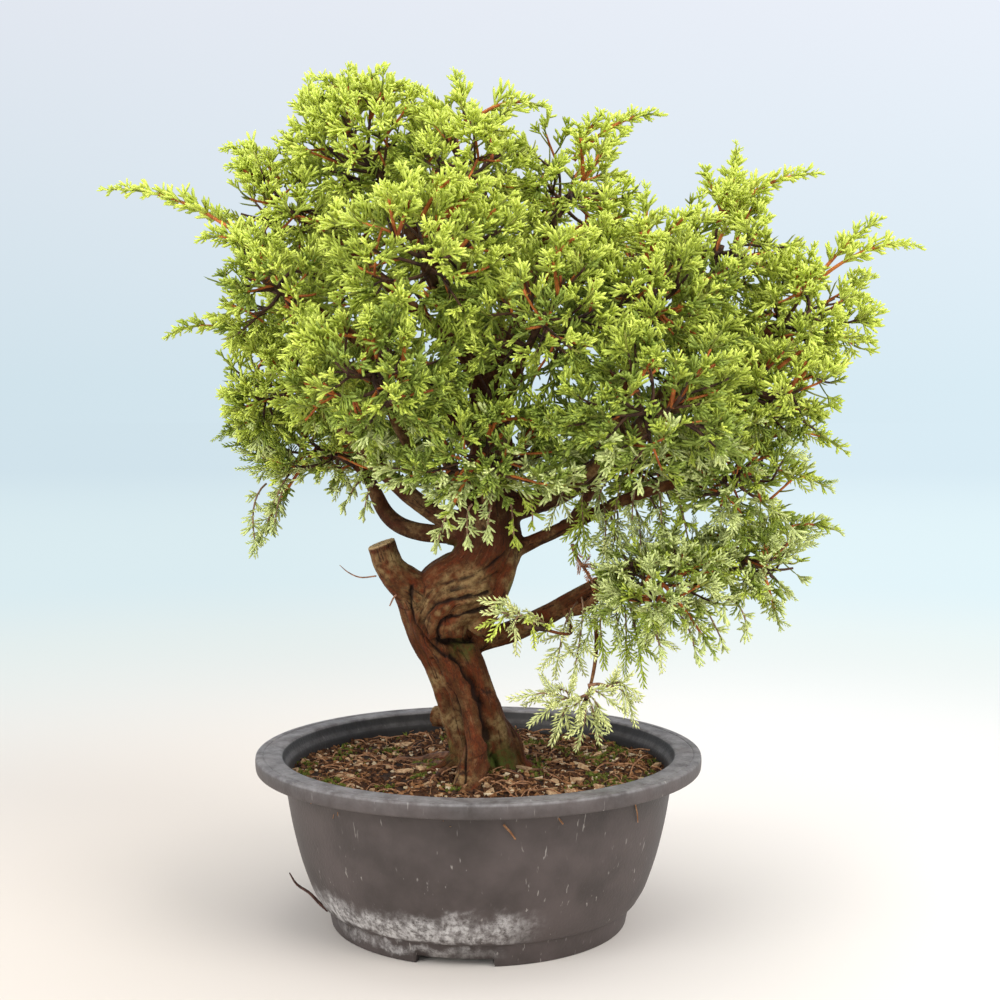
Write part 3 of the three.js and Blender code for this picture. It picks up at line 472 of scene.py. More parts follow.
def smooth_line(stations, count):
    """A line through stations (x, y, z, radius): a centripetal Catmull-Rom curve, as in the solids."""
    stations = np.array(stations, float)
    knots = stations[:, :3]
    knots = np.vstack([2 * knots[0] - knots[1], knots, 2 * knots[-1] - knots[-2]])
    gaps = np.sqrt(np.linalg.norm(np.diff(knots, axis=0), axis=1))
    t = np.linspace(0, 1, 24, endpoint=False)[:, None]
    places = []
    for k in range(1, len(knots) - 2):
        p0, p1, p2, p3 = knots[k - 1 : k + 3]
        d0, d1, d2 = gaps[k - 1 : k + 2]
        leave = ((p1 - p0) / d0 - (p2 - p0) / (d0 + d1) + (p2 - p1) / d1) * d1
        arrive = ((p2 - p1) / d1 - (p3 - p1) / (d1 + d2) + (p3 - p2) / d2) * d1
        turn = 2 * p1 - 2 * p2 + leave + arrive
        bend = 3 * p2 - 3 * p1 - 2 * leave - arrive
        places.append(p1 + leave * t + bend * t**2 + turn * t**3)
    places = np.vstack([*places, knots[-2]])
    steps = np.linspace(0, len(stations) - 1, len(places))
    radii = np.interp(steps, np.arange(len(stations)), stations[:, 3])
    return Line(places, radii, count)


def arc_line(start, pull_out, pull_in, end, radii):
    """A line along a cubic curve with its four points, tapering from one radius to another."""
    places = cubic(start, pull_out, pull_in, end, 60)
    return Line(places, np.linspace(*radii, len(places)), LINE_STATIONS)


def ring_faces(rings, count):
    """The faces between rings of corners, each ring with the same count."""
    return [
        (k * count + i, k * count + (i + 1) % count, (k + 1) * count + (i + 1) % count, (k + 1) * count + i)
        for k in range(rings - 1)
        for i in range(count)
    ]


def cross_frames(places):
    """Two directions across a path at each of its places, carried along it without twist."""
    headings = unit(np.gradient(places, axis=0))
    across = np.cross(headings[0], UP if abs(headings[0][2]) < 0.9 else (1.0, 0.0, 0.0))
    firsts = []
    for heading in headings:
        across = unit(across - heading * np.dot(across, heading))
        firsts.append(across)
    firsts = np.array(firsts)
    return firsts, np.cross(headings, firsts)


class Form:
    """Faces gathered from many small forms, each with the number of its finish."""

    def __init__(self, places=(), faces=()):
        self.places = []
        self.faces = []
        self.finishes = []
        self.young = []
        self.count = 0
        if len(places):
            self.add(places, faces)

    def add(self, places, faces, finish=0, young=False):
        self.places.append(np.asarray(places, float))
        self.faces += [[corner + self.count for corner in face] for face in faces]
        self.finishes += [finish] * len(faces)
        self.young += [young] * len(faces)
        self.count += len(places)

    def tube(self, places, radii, sides, finish=0, young=False, pointed=False):
        """A closed tube round a path. Its ends are flat, or its far end is a point."""
        places = np.asarray(places, float)
        firsts, seconds = cross_frames(places)
        angles = np.linspace(0, 2 * math.pi, sides, endpoint=False)
        if np.ndim(radii) < 2:
            radii = np.broadcast_to(np.asarray(radii, float), (sides, len(places))).T
        rings = (
            places[:, None, :]
            + radii[:, :, None] * np.cos(angles)[None, :, None] * firsts[:, None, :]
            + radii[:, :, None] * np.sin(angles)[None, :, None] * seconds[:, None, :]
        )
        if pointed:
            rings = rings[:-1]
        stations = len(rings)
        corners = rings.reshape(-1, 3)
        faces = ring_faces(stations, sides)
        last = (stations - 1) * sides
        if pointed:
            corners = np.vstack([corners, places[-1]])
            faces += [(last + i, last + (i + 1) % sides, len(corners) - 1) for i in range(sides)]
        else:
            faces.append(tuple(last + i for i in range(sides)))
        faces.append(tuple(reversed(range(sides))))
        self.add(corners, faces, finish, young)

    def piece(self, name, finishes=(), smooth=True, in_frame=True):
        """The form as an object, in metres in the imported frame, with its finishes as slots."""
        places = np.vstack(self.places) * MM
        if in_frame:
            places = places + AXIS
        mesh = bpy.data.meshes.new(name)
        mesh.from_pydata(places.tolist(), [], self.faces)
        for finish in finishes:
            mesh.materials.append(finish)
        mesh.polygons.foreach_set("material_index", self.finishes)
        if any(self.young):
            mesh.attributes.new("young", "BOOLEAN", "FACE").data.foreach_set("value", self.young)
        if smooth:
            mesh.shade_smooth()
        else:
            mesh.shade_flat()
        return shown(bpy.data.objects.new(name, mesh))


def shown(thing):
    """Puts an object in the scene."""
    bpy.context.scene.collection.objects.link(thing)
    return thing


def corners_of(mesh):
    """A mesh's vertices as rows of millimetres from the pot's axis."""
    places = np.empty(len(mesh.vertices) * 3)
    mesh.vertices.foreach_get("co", places)
    return (places.reshape(-1, 3) - AXIS) / MM


def normals_of(mesh):
    """The way each vertex faces, as rows."""
    ways = np.empty(len(mesh.vertices) * 3)
    mesh.vertices.foreach_get("normal", ways)
    return ways.reshape(-1, 3)


def made_plain(piece):
    """Turns a piece's evaluated modifiers into its own plain mesh."""
    graph = bpy.context.evaluated_depsgraph_get()
    mesh = bpy.data.meshes.new_from_object(piece.evaluated_get(graph))
    piece.modifiers.clear()
    piece.data = mesh
    return piece


def kept(piece, slot, *nodes):
    """Hands a finished piece to the frame: what it rides on, its slot, which is not used, and what it stands
    for.
    """
    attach(piece, "root")
    if nodes:
        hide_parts(*nodes)


# Nodes


def node(tree, kind, inputs=None, **settings):
    """A node with its settings, and its inputs filled by values or joined to other nodes' outputs."""
    made = tree.nodes.new(kind)
    for name, value in settings.items():
        setattr(made, name, value)
    for socket, value in (inputs or {}).items():
        if isinstance(value, bpy.types.NodeSocket):
            tree.links.new(value, made.inputs[socket])
        else:
            made.inputs[socket].default_value = value
    return made


def output(tree, kind, inputs=None, number=0, **settings):
    """The first output of a new node, or another one of them."""
    return node(tree, kind, inputs, **settings).outputs[number]


class Finish:
    """A material under way: its node tree, its shader and short names for the nodes it uses."""

    def __init__(self, name, roughness, specular):
        self.material = bpy.data.materials.new(name)
        self.material.use_nodes = True
        self.tree = self.material.node_tree
        self.shader = self.tree.nodes["Principled BSDF"]
        self.shader.inputs["Roughness"].default_value = roughness
        self.shader.inputs["Specular IOR Level"].default_value = specular
        self.places = node(self.tree, "ShaderNodeTexCoord").outputs["Object"]
        self.colour = None

    def moved(self, scale=(1, 1, 1), offset=(0, 0, 0), places=None):
        """Places stretched by a scale, or shifted."""
        inputs = {"Vector": places or self.places, "Scale": scale, "Location": offset}
        return node(self.tree, "ShaderNodeMapping", inputs).outputs[0]

    def noise(self, scale, detail=3.0, places=None, roughness=0.55):
        inputs = {"Vector": places or self.places, "Scale": scale, "Detail": detail, "Roughness": roughness}
        return node(self.tree, "ShaderNodeTexNoise", inputs).outputs["Fac"]

    def cracks(self, scale, places=None):
        """The distance to the nearest edge between cells."""
        inputs = {"Vector": places or self.places, "Scale": scale}
        made = node(self.tree, "ShaderNodeTexVoronoi", inputs, feature="DISTANCE_TO_EDGE")
        return made.outputs["Distance"]

    def level(self, value, low, high, to_low=0.0, to_high=1.0):
        """Maps low..high of a value to to_low..to_high, clamped, with eased ends."""
        inputs = {0: value, 1: low, 2: high, 3: to_low, 4: to_high}
        return node(self.tree, "ShaderNodeMapRange", inputs, interpolation_type="SMOOTHSTEP").outputs[0]

    def between(self, value, start, end):
        """One where a value lies between two others, with its start and end eased."""
        return self.product(self.level(value, *start), self.level(value, *end))

    def maths(self, operation, a, b):
        return node(self.tree, "ShaderNodeMath", {0: a, 1: b}, operation=operation).outputs[0]

    def product(self, a, b):
        return self.maths("MULTIPLY", a, b)

    def sum(self, a, b):
        return self.maths("ADD", a, b)

    def mix(self, share, a, b):
        """One colour over another by a share."""
        made = node(self.tree, "ShaderNodeMix", {0: share, 6: a, 7: b}, data_type="RGBA")
        return made.outputs[2]

    def over(self, share, colour):
        """Lays one more colour over those so far, by a share. Three numbers are a colour as it looks."""
        self.colour = self.mix(share, self.colour, colour_of(*colour) if len(colour) == 3 else colour)

    def along(self, way, places=None):
        """How far each place lies along a way."""
        inputs = {0: places or self.places, 1: way}
        made = node(self.tree, "ShaderNodeVectorMath", inputs, operation="DOT_PRODUCT")
        return made.outputs["Value"]

    def read(self, attribute, output="Fac"):
        return node(self.tree, "ShaderNodeAttribute", attribute_name=attribute).outputs[output]

    def axis(self, index, places=None):
        return node(self.tree, "ShaderNodeSeparateXYZ", {0: places or self.places}).outputs[index]

    def done(self, roughness=None, height=None, depth=0.2, strength=1.0):
        """Joins the colour, the roughness and the bump, whose height is a share of depth in mm."""
        self.tree.links.new(self.colour, self.shader.inputs["Base Color"])
        if roughness is not None:
            self.tree.links.new(roughness, self.shader.inputs["Roughness"])
        if height is not None:
            inputs = {"Height": height, "Distance": depth * MM, "Strength": strength}
            bump = node(self.tree, "ShaderNodeBump", inputs)
            self.tree.links.new(bump.outputs[0], self.shader.inputs["Normal"])
        return self.material


def colour_of(*srgb):
    """A colour written as it looks, 0 to 255, as the linear colour that the nodes take."""
    shares = [c / 255 for c in srgb]
    return tuple(c / 12.92 if c <= 0.04045 else ((c + 0.055) / 1.055) ** 2.4 for c in shares) + (1.0,)


# Geometry node trees


def new_tree(name, sockets):
    """A geometry node tree with named inputs, and its input and output nodes."""
    tree = bpy.data.node_groups.new(name, "GeometryNodeTree")
    tree.interface.new_socket("Geometry", in_out="INPUT", socket_type="NodeSocketGeometry")
    for label, kind in sockets.items():
        tree.interface.new_socket(label, in_out="INPUT", socket_type="NodeSocket" + kind)
    tree.interface.new_socket("Geometry", in_out="OUTPUT", socket_type="NodeSocketGeometry")
    return tree, node(tree, "NodeGroupInput").outputs, node(tree, "NodeGroupOutput").inputs


def grow_with(piece, tree, values):
    """Puts a tree on a piece with its named inputs set, and turns the result into a plain mesh."""
    modifier = piece.modifiers.new(tree.name, "NODES")
    modifier.node_group = tree
    for item in tree.interface.items_tree:
        if item.item_type == "SOCKET" and item.in_out == "INPUT" and item.name in values:
            modifier[item.identifier] = values[item.name]
    return made_plain(piece)


def placed(tree, group, points, rotation, scale, **more):
    """Puts a collection's members on points, as real geometry, picked by the points' own numbers."""
    members = {"Collection": group, "Separate Children": True, "Reset Children": True}
    pieces = output(tree, "GeometryNodeCollectionInfo", members)
    inputs = {"Points": points, "Instance": pieces, "Rotation": rotation, "Scale": scale}
    put = output(tree, "GeometryNodeInstanceOnPoints", {"Pick Instance": True, **inputs, **more})
    return output(tree, "GeometryNodeRealizeInstances", {0: put})


def scatter_tree():
    """Strews the pieces of a collection over a surface, turned at random and sunk a little into it."""
    sockets = {
        "Pieces": "Collection",
        "Per square metre": "Float",
        "Smallest": "Float",
        "Largest": "Float",
        "Tilt": "Float",
        "Where": "String",
        "Seed": "Int",
        "Finish": "Material",
    }
    tree, given, result = new_tree("Strewn pieces", sockets)
    share = node(tree, "GeometryNodeInputNamedAttribute", {"Name": given["Where"]}, data_type="FLOAT")
    wanted = {0: share.outputs["Attribute"], 1: given["Per square metre"]}
    density = output(tree, "ShaderNodeMath", wanted, operation="MULTIPLY")
    spread = {"Mesh": given["Geometry"], "Density": density, "Seed": given["Seed"]}
    points = node(tree, "GeometryNodeDistributePointsOnFaces", spread)
    sizes = {2: given["Smallest"], 3: given["Largest"], "Seed": given["Seed"]}
    size = output(tree, "FunctionNodeRandomValue", sizes, 1, data_type="FLOAT")
    lean = output(tree, "ShaderNodeMath", {0: given["Tilt"], 1: -1.0}, operation="MULTIPLY")
    low = output(tree, "ShaderNodeCombineXYZ", {0: lean, 1: lean, 2: 0.0})
    high = output(tree, "ShaderNodeCombineXYZ", {0: given["Tilt"], 1: given["Tilt"], 2: 2 * math.pi})
    turns = {0: low, 1: high, "Seed": given["Seed"]}
    turn = output(tree, "FunctionNodeRandomValue", turns, data_type="FLOAT_VECTOR")
    turned = output(tree, "FunctionNodeEulerToRotation", {0: turn})
    both = {0: points.outputs["Rotation"], 1: turned}
    facing = output(tree, "FunctionNodeRotateRotation", both, rotation_space="LOCAL")
    strewn = placed(tree, given["Pieces"], points.outputs["Points"], facing, size)
    dressed = {"Geometry": strewn, "Material": given["Finish"]}
    finished = node(tree, "GeometryNodeSetMaterial", dressed)
    tree.links.new(finished.outputs[0], result["Geometry"])
    return tree


def spray_tree(tints):
    """Puts a spray on every point, by the point's own kind, heading, facing, size and tint."""
    sockets = {"Sprays": "Collection", "Spray size": "Float"}
    for tint in tints:
        sockets[f"{tint} cords"] = "Material"
        sockets[f"{tint} tips"] = "Material"
    tree, given, result = new_tree("Foliage sprays", sockets)

    def told(name, kind):
        made = node(tree, "GeometryNodeInputNamedAttribute", {"Name": name}, data_type=kind)
        return made.outputs["Attribute"]

    heading = {"Vector": told("heading", "FLOAT_VECTOR")}
    aimed = output(tree, "FunctionNodeAlignRotationToVector", heading, axis="Z")
    facing = {"Rotation": aimed, "Vector": told("facing", "FLOAT_VECTOR")}
    faced = output(tree, "FunctionNodeAlignRotationToVector", facing, axis="X", pivot_axis="Z")
    sizes = {0: told("size", "FLOAT"), 1: given["Spray size"]}
    size = output(tree, "ShaderNodeMath", sizes, operation="MULTIPLY")
    picked = {"Instance Index": told("kind", "INT")}
    last = placed(tree, given["Sprays"], given["Geometry"], faced, size, **picked)
    for number, tint in enumerate(tints):
        pair = {2: told("tint", "INT"), 3: number}
        same = output(tree, "FunctionNodeCompare", pair, data_type="INT", operation="EQUAL")
        for part, operation in (("cords", "NIMPLY"), ("tips", "AND")):
            pair = {0: same, 1: told("young", "BOOLEAN")}
            which = output(tree, "FunctionNodeBooleanMath", pair, operation=operation)
            dressed = {"Geometry": last, "Selection": which, "Material": given[f"{tint} {part}"]}
            last = node(tree, "GeometryNodeSetMaterial", dressed).outputs[0]
    tree.links.new(last, result["Geometry"])
    return tree


def set_of(name, things):
    """A collection, outside the scene, that holds small pieces to be strewn or placed."""
    group = bpy.data.collections.new(name)
    for thing in things:
        bpy.context.scene.collection.objects.unlink(thing)
        group.objects.link(thing)
    return group


def clear_set(group):
    """Removes a collection and the small pieces in it."""
    for thing in list(group.objects):
        mesh = thing.data
        bpy.data.objects.remove(thing)
        bpy.data.meshes.remove(mesh)
    bpy.data.collections.remove(group)


# Pot


def rounded(profile):
    """An outline of (radius, height, rounding) with each corner turned into an arc."""
    points = np.array([(r, h) for r, h, _ in profile], float)
    outline = [points[0]]
    for k in range(1, len(points) - 1):
        before, corner, after = points[k - 1 : k + 2]
        cut = profile[k][2]
        if cut == 0:
            outline.append(corner)
            continue
        start = corner + unit(before - corner) * cut
        end = corner + unit(after - corner) * cut
        for t in np.linspace(0, 1, 5):
            outline.append((1 - t) ** 2 * start + 2 * t * (1 - t) * corner + t**2 * end)
    return np.array([*outline, points[-1]])


def pot_outline(rim_radius, rim_top):
    """From the middle of the underside, out round the foot and rim, and back inside to the floor."""
    return [
        (0, 4.5, 0), (FOOT_RADIUS - FOOT_WALL, 4.5, 0.6), (FOOT_RADIUS - FOOT_WALL, 0, 0.5),
        (FOOT_RADIUS, 0, 0.7), (FOOT_RADIUS + 2.1, 9.9, 0.9), (FOOT_RADIUS + 5, 10.8, 1.2),
        (75.4, 17.4, 3), (79.9, 30, 6), (83.9, 46, 8), (87.7, rim_top - 6.4, 0.7),
        (rim_radius - 0.4, rim_top - 6.4, 0.8), (rim_radius, rim_top - 3, 1.8),
        (rim_radius - 0.3, rim_top, 1.2), (rim_radius - 3.2, rim_top, 0.3),
        (rim_radius - 3.7, rim_top - 0.45, 0.2), (rim_radius - 4.2, rim_top - 0.05, 0.3),
        (88.2, rim_top - 0.1, 1.4), (87.2, rim_top - 3.4, 1.2), (85.2, rim_top - 6.6, 1), (81.3, 46, 8),
        (77.2, 30, 6), (72.4, 17, 4), (65.8, 7.5, 1.5), (0, 7.5, 0),
    ]


def pot_form(rim_radius, rim_top, sides):
    """The pot: its outline turned round its axis, with the notches cut up into the foot ring."""
    outline = rounded(pot_outline(rim_radius, rim_top))
    half_notch = math.degrees(math.asin(NOTCH_WIDTH / 2 / FOOT_RADIUS))
    beside = [side * half_notch + nudge for side in (-1, 1) for nudge in (-0.25, 0.25)]
    edges = [turn + edge for turn in NOTCH_TURNS for edge in beside]
    turns = np.radians(np.unique(np.concatenate([np.arange(sides) * 360 / sides - 180, edges])))
    turned = np.degrees(turns)
    open_here = np.zeros(len(turns), bool)
    for middle in NOTCH_TURNS:
        open_here |= np.abs((turned - middle + 180) % 360 - 180) < half_notch
    rings = []
    for radius, height in outline[1:-1]:
        in_foot = height < NOTCH_HEIGHT and radius > FOOT_RADIUS - FOOT_WALL - 1
        heights = np.where(open_here & in_foot, NOTCH_HEIGHT, height)
        rings.append(np.column_stack([radius * np.cos(turns), radius * np.sin(turns), heights]))
    count = len(turns)
    corners = np.vstack([*rings, [[0, 0, outline[0][1]]], [[0, 0, outline[-1][1]]]])
    faces = ring_faces(len(rings), count)
    under, floor = len(corners) - 2, len(corners) - 1
    last = (len(rings) - 1) * count
    faces += [(under, (i + 1) % count, i) for i in range(count)]
    faces += [(floor, last + i, last + (i + 1) % count) for i in range(count)]
    return Form(corners, faces)


def plastic(settings):
    """Matt charcoal plastic: leathery grain, pale flecks and scuffs, dust and painted sheen on the rim,
    painted shade inside the wall, and lime round the foot.
    """
    finish = Finish("charcoal plastic", roughness=0.55, specular=0.35)
    about = finish.moved(offset=tuple(-AXIS))
    height = finish.axis(2)
    clouds = finish.noise(38, 4)
    finish.colour = finish.mix(finish.level(clouds, 0.3, 0.7), settings.colour, settings.faded)
    streaky = finish.moved(scale=(620, 620, 95))
    flecks = finish.level(finish.noise(1.0, 2, streaky), 0.66, 0.72)
    thin = finish.level(finish.noise(60, 2), 0.42, 0.62)
    fleck_share = finish.product(finish.product(flecks, thin), 0.55)
    finish.over(fleck_share, (176, 168, 160))
    facing = node(finish.tree, "ShaderNodeNewGeometry").outputs["Normal"]
    upward = finish.axis(2, facing)
    rim = finish.level(height, RIM_TOP - 0.0085, RIM_TOP - 0.006)
    # Dust and painted sheen: pale grey on the rim's upward faces, partly dust, partly a painted highlight of
    # the light from above.
    dust_and_sheen = finish.product(finish.level(finish.noise(140, 5, roughness=0.7), 0.2, 0.8), rim)
    dust_and_sheen = finish.product(dust_and_sheen, finish.level(upward, -0.1, 0.6, 0.08, 0.62))
    finish.over(dust_and_sheen, (166, 162, 160))
    # Painted shade: the inside of the wall, whose faces look towards the axis, darkened nearly to black.
    wall = finish.product(finish.level(finish.along(facing, about), -0.01, -0.05), 0.88)
    finish.over(wall, (30, 27, 25))
    # Lime: a ragged band above the foot, strongest on the front left
    to_front = finish.along((-0.5 / RIM_RADIUS, -0.9 / RIM_RADIUS, 0.0), about)
    ragged = finish.noise(70, 6, roughness=0.65)
    side = finish.level(to_front, 0.46, 0.7)
    waver = finish.product(finish.maths("SUBTRACT", ragged, 0.5), 0.022)
    lifted = finish.sum(height, waver)
    band = finish.product(finish.between(lifted, *LIME_BAND), side)
    low = finish.between(lifted, *LIME_LINE)
    low = finish.product(low, finish.level(to_front, 0.5, 0.7, 0, 0.6))
    band = finish.maths("MAXIMUM", band, low)
    crusty = finish.level(finish.noise(420, 5, roughness=0.75), 0.3, 0.62, 0, 0.85)
    drips = finish.level(finish.noise(1.0, 3, finish.moved(scale=(330, 330, 70))), 0.3, 0.6, 0.35, 1)
    lime = finish.product(band, finish.product(crusty, drips))
    finish.over(lime, settings.lime)
    grain = finish.product(finish.cracks(420, finish.moved(scale=(1, 1, 0.8))), 1.3)
    fine = finish.noise(1500, 3)
    bump = finish.sum(finish.maths("MINIMUM", grain, 0.35), finish.product(fine, 0.3))
    bump = finish.sum(bump, finish.product(lime, 0.6))
    roughness = finish.level(finish.sum(clouds, lime), 0.3, 1.3, 0.5, 0.85)
    return finish.done(roughness, bump, depth=0.22, strength=0.6)


# Soil


def soil_height(x, y):
    """The soil's surface: lumpy, higher round the trunk and a little lower at the wall."""
    places = np.column_stack([x / SOIL_LUMPS, y / SOIL_LUMPS, np.zeros_like(x)])
    lumps = lattice_noise(places, 5) * 0.9 + lattice_noise(places * 2.7, 6) * 0.5
    from_foot = np.hypot(x - FOOT[0], y)
    mound = MOUND_HEIGHT * np.exp(-((from_foot / MOUND_REACH) ** 2))
    return SOIL_TOP / MM - 0.6 + lumps + mound


def soil_form():
    """The soil: rings of faces out from the middle, closer near the wall, and a skirt down inside the pot."""
    rings, count = 44, 120
    radii = np.linspace(0, 1, rings + 1)[1:] ** 0.8 * SOIL_RADIUS
    turns = np.arange(count) * 2 * math.pi / count
    x = np.concatenate([[0.0], (radii[:, None] * np.cos(turns)).ravel()])
    y = np.concatenate([[0.0], (radii[:, None] * np.sin(turns)).ravel()])
    top = np.column_stack([x, y, soil_height(x, y)])
    start = 1 + (rings - 1) * count
    skirt = top[start:] * (0.985, 0.985, 1) - (0, 0, 9)
    corners = np.vstack([top, skirt])
    faces = [(0, 1 + i, 1 + (i + 1) % count) for i in range(count)]
    for k in range(rings):
        base = 1 + k * count
        faces += [
            (base + i, base + count + i, base + count + (i + 1) % count, base + (i + 1) % count)
            for i in range(count)
        ]
    last = 1 + rings * count
    faces.append(tuple(reversed(range(last, last + count))))
    return Form(corners, faces)


def flake(rng):
    """A chip of bark: a rough block with six uneven ends."""
    length, width, thick = rng.uniform((2.5, 1.2, 0.6), (6.5, 2.6, 1.5))
    turns = np.arange(6) * math.pi / 3
    reach = rng.uniform(0.7, 1.15, 6)
    outline = np.column_stack([np.cos(turns) * reach * length / 2, np.sin(turns) * reach * width / 2])
    low = np.column_stack([outline * 0.85, np.full(6, -thick / 2)])
    high = np.column_stack([outline, rng.uniform(0.2, 0.8, 6) * thick])
    sides = [(i, (i + 1) % 6, 6 + (i + 1) % 6, 6 + i) for i in range(6)]
    return Form(np.vstack([low, high]), [*sides, tuple(range(6, 12)), tuple(reversed(range(6)))])


def fibre(rng):
    """A thin dead rootlet, bent twice."""
    length, radius = rng.uniform((7, 0.22), (17, 0.4))
    x = np.linspace(-length / 2, length / 2, 5)
    bend = rng.uniform(-0.2, 0.2, 2) * length
    places = np.column_stack([x, bend[0] * np.sin(x * 3 / length), np.abs(bend[1]) * np.cos(x * 3 / length)])
    form = Form()
    form.tube(places, np.linspace(radius, radius * 0.5, 5), 4)
    return form


def moss_tuft(rng):
    """A tuft of moss: a few short pointed leaves from one place."""
    form = Form()
    for k in range(7):
        turn = k * GOLDEN_ANGLE
        lean = 0.25 + 0.5 * rng.random()
        tip = np.array([math.cos(turn) * lean, math.sin(turn) * lean, 1.0]) * rng.uniform(0.8, 1.3)
        form.tube([(0, 0, -0.3), tip * 0.5, tip], [0.16, 0.2, 0.02], 3, pointed=True)
    return form


LITTER_FORMS = {"chips": flake, "fibres": fibre, "moss": moss_tuft}


def earth(name, colour, pale, scale=260):
    """Soil, bark chips or peat: a dark colour broken up by paler specks."""
    finish = Finish(name, roughness=0.9, specular=0.2)
    colour, pale = colour_of(*colour), colour_of(*pale)
    clouds = finish.noise(scale, 4)
    finish.colour = finish.mix(finish.level(clouds, 0.35, 0.7), colour, pale)
    specks = finish.noise(scale * 6, 2)
    finish.over(finish.level(specks, 0.6, 0.75, 0, 0.4), pale)
    return finish.done(finish.level(specks, 0.2, 0.8, 0.75, 1.0), specks, depth=0.3)


# Bark


def limb_lines():
    """The trunk's line and every limb's, worked out parent first by the solids' own rule."""
    lines = {"trunk": smooth_line(TRUNK_LINE, TRUNK_STATIONS)}
    for name, (parent, where, radii, leave, arrive) in LIMBS.items():
        index = MASS_NAMES.index(name)
        start = lines[parent].at(where)
        leave, arrive = np.array(leave, float), np.array(arrive, float)
        end = MIDDLES[index] - unit(arrive) * HALVES[index] * ENTRY_SHARE
        lines[name] = arc_line(start, start + leave, end - arrive, end, radii)
    return lines


def root_line(root, crest):
    """A root's line: out of the trunk at its crest, down to the soil and under it at its tip."""
    turn, reach, radius = root
    turn = math.radians(turn)
    out = np.array([math.cos(turn), math.sin(turn), 0.0])
    stations = [
        (*(crest + out * 5), radius),
        (*(FOOT + out * 10 + UP * ROOT_CREST * 0.36), radius * 0.9),
        (*(FOOT + out * reach * 0.64 + UP * radius * 0.4), radius * 0.76),
        (*(FOOT + out * reach - UP * radius * 0.4), radius * ROOT_TIP_SHARE),
    ]
    return smooth_line(stations, LINE_STATIONS)


def surface_root(form, number, start, end, radius):
    """A knobbly root that wanders over the soil, half sunk in it, and dips under at its end."""
    rng = np.random.default_rng(ROOT_SEED + number)
    shares = np.linspace(0, 1, 17)
    across = np.array([start[1] - end[1], end[0] - start[0]]) * 0.09
    wander = np.sin(shares * rng.uniform(5, 8) + rng.uniform(0, 6))[:, None] * across
    flat = start + (end - start) * shares[:, None] + wander
    radii = radius * (1.05 - 0.7 * shares) * (1 + 0.12 * np.sin(shares * 23 + number))
    sunk = radii * (-0.3 + 1.9 * np.clip(shares - 0.7, 0, 1) / 0.3)
    heights = soil_height(flat[:, 0], flat[:, 1]) - sunk
    form.tube(np.column_stack([flat, heights]), radii, 9)


def fluted(line):
    """The trunk's radius round each of its rings: live veins swell it and twist slowly round it."""
    angles = np.linspace(0, 2 * math.pi, TRUNK_SIDES, endpoint=False)
    swell = 1 + FLUTE_DEPTH * np.cos(FLUTES * angles[None, :] + FLUTE_TWIST * line.shares[:, None] * math.pi)
    return line.radii[:, None] * swell


def nearest_on(lines, places):
    """For each place: the nearest line's number, distance along it in mm, and the angle round it."""
    stations = np.vstack([line.places for line in lines])
    firsts = np.vstack([cross_frames(line.places)[0] for line in lines])
    seconds = np.vstack([cross_frames(line.places)[1] for line in lines])
    along = np.concatenate([line.shares * line.length for line in lines])
    number = np.concatenate([np.full(len(line.shares), k) for k, line in enumerate(lines)])
    radii = np.concatenate([line.radii for line in lines])
    best = np.empty(len(places), int)
    for start in range(0, len(places), BATCH):
        part = places[start : start + BATCH]
        gaps = ((part[:, None, :] - stations[None]) ** 2).sum(2) / radii[None] ** 2
        best[start : start + BATCH] = gaps.argmin(1)
    offset = places - stations[best]
    angle = np.arctan2((offset * seconds[best]).sum(1), (offset * firsts[best]).sum(1))
    return number[best], along[best], angle, radii[best]


def grain_of(lines, places):
    """Where each place lies in the bark's own grain: round the limb, and along it."""
    number, along, angle, radius = nearest_on(lines, places)
    grain = np.column_stack([radius * np.cos(angle), radius * np.sin(angle), along + number * 37.0])
    return grain, radius


def bark_relief(grain, radius, depth):
    """How far the bark stands out or in at each place, with stringy strips that run along the limb."""
    strips = 1 - 2 * np.abs(lattice_noise(grain / (2.6, 2.6, 17), 11))
    fine = lattice_noise(grain / (0.9, 0.9, 7), 12)
    lumps = lattice_noise(grain / (7, 7, 11), 13)
    flakes = lattice_noise(grain / (2.2, 2.2, 3.2), 14)
    relief = 0.5 * strips + 0.25 * fine + 0.7 * lumps + 0.3 * flakes
    return depth * relief * np.clip(radius / 9, 0.25, 1.0)


def folded(places):
    """The folds of the trunk's front at each place: how deep it lies in one, and how far it rolls out."""
    depth = np.zeros(len(places))
    roll = np.zeros(len(places))
    wander = lattice_noise(places / 4.5, 41)
    flat = places[:, [0, 2]] + 0.7 * np.column_stack([wander, lattice_noise(places / 4.5, 42)])
    for points, deep, wide, rolls_out in FOLDS:
        line = np.array(points, float)
        nearest = np.full(len(places), np.inf)
        beside = np.zeros(len(places))
        for a, b in zip(line[:-1], line[1:]):
            t = np.clip(((flat - a) @ (b - a)) / ((b - a) @ (b - a)), 0, 1)
            off = flat - a - t[:, None] * (b - a)
            gap = np.linalg.norm(off, axis=1)
            side = (b - a)[0] * off[:, 1] - (b - a)[1] * off[:, 0]
            beside = np.where(gap < nearest, side, beside)
            nearest = np.minimum(nearest, gap)
        width = wide * (1 + 0.35 * wander)
        depth = np.maximum(depth, deep * np.exp(-((nearest / width) ** 2)))
        roll += np.where(beside > 0, rolls_out * np.exp(-((nearest / ROLL_WIDTH) ** 2)), 0)
    front = np.clip((-places[:, 1] - 2) / 5, 0, 1)
    return depth * front, roll * front


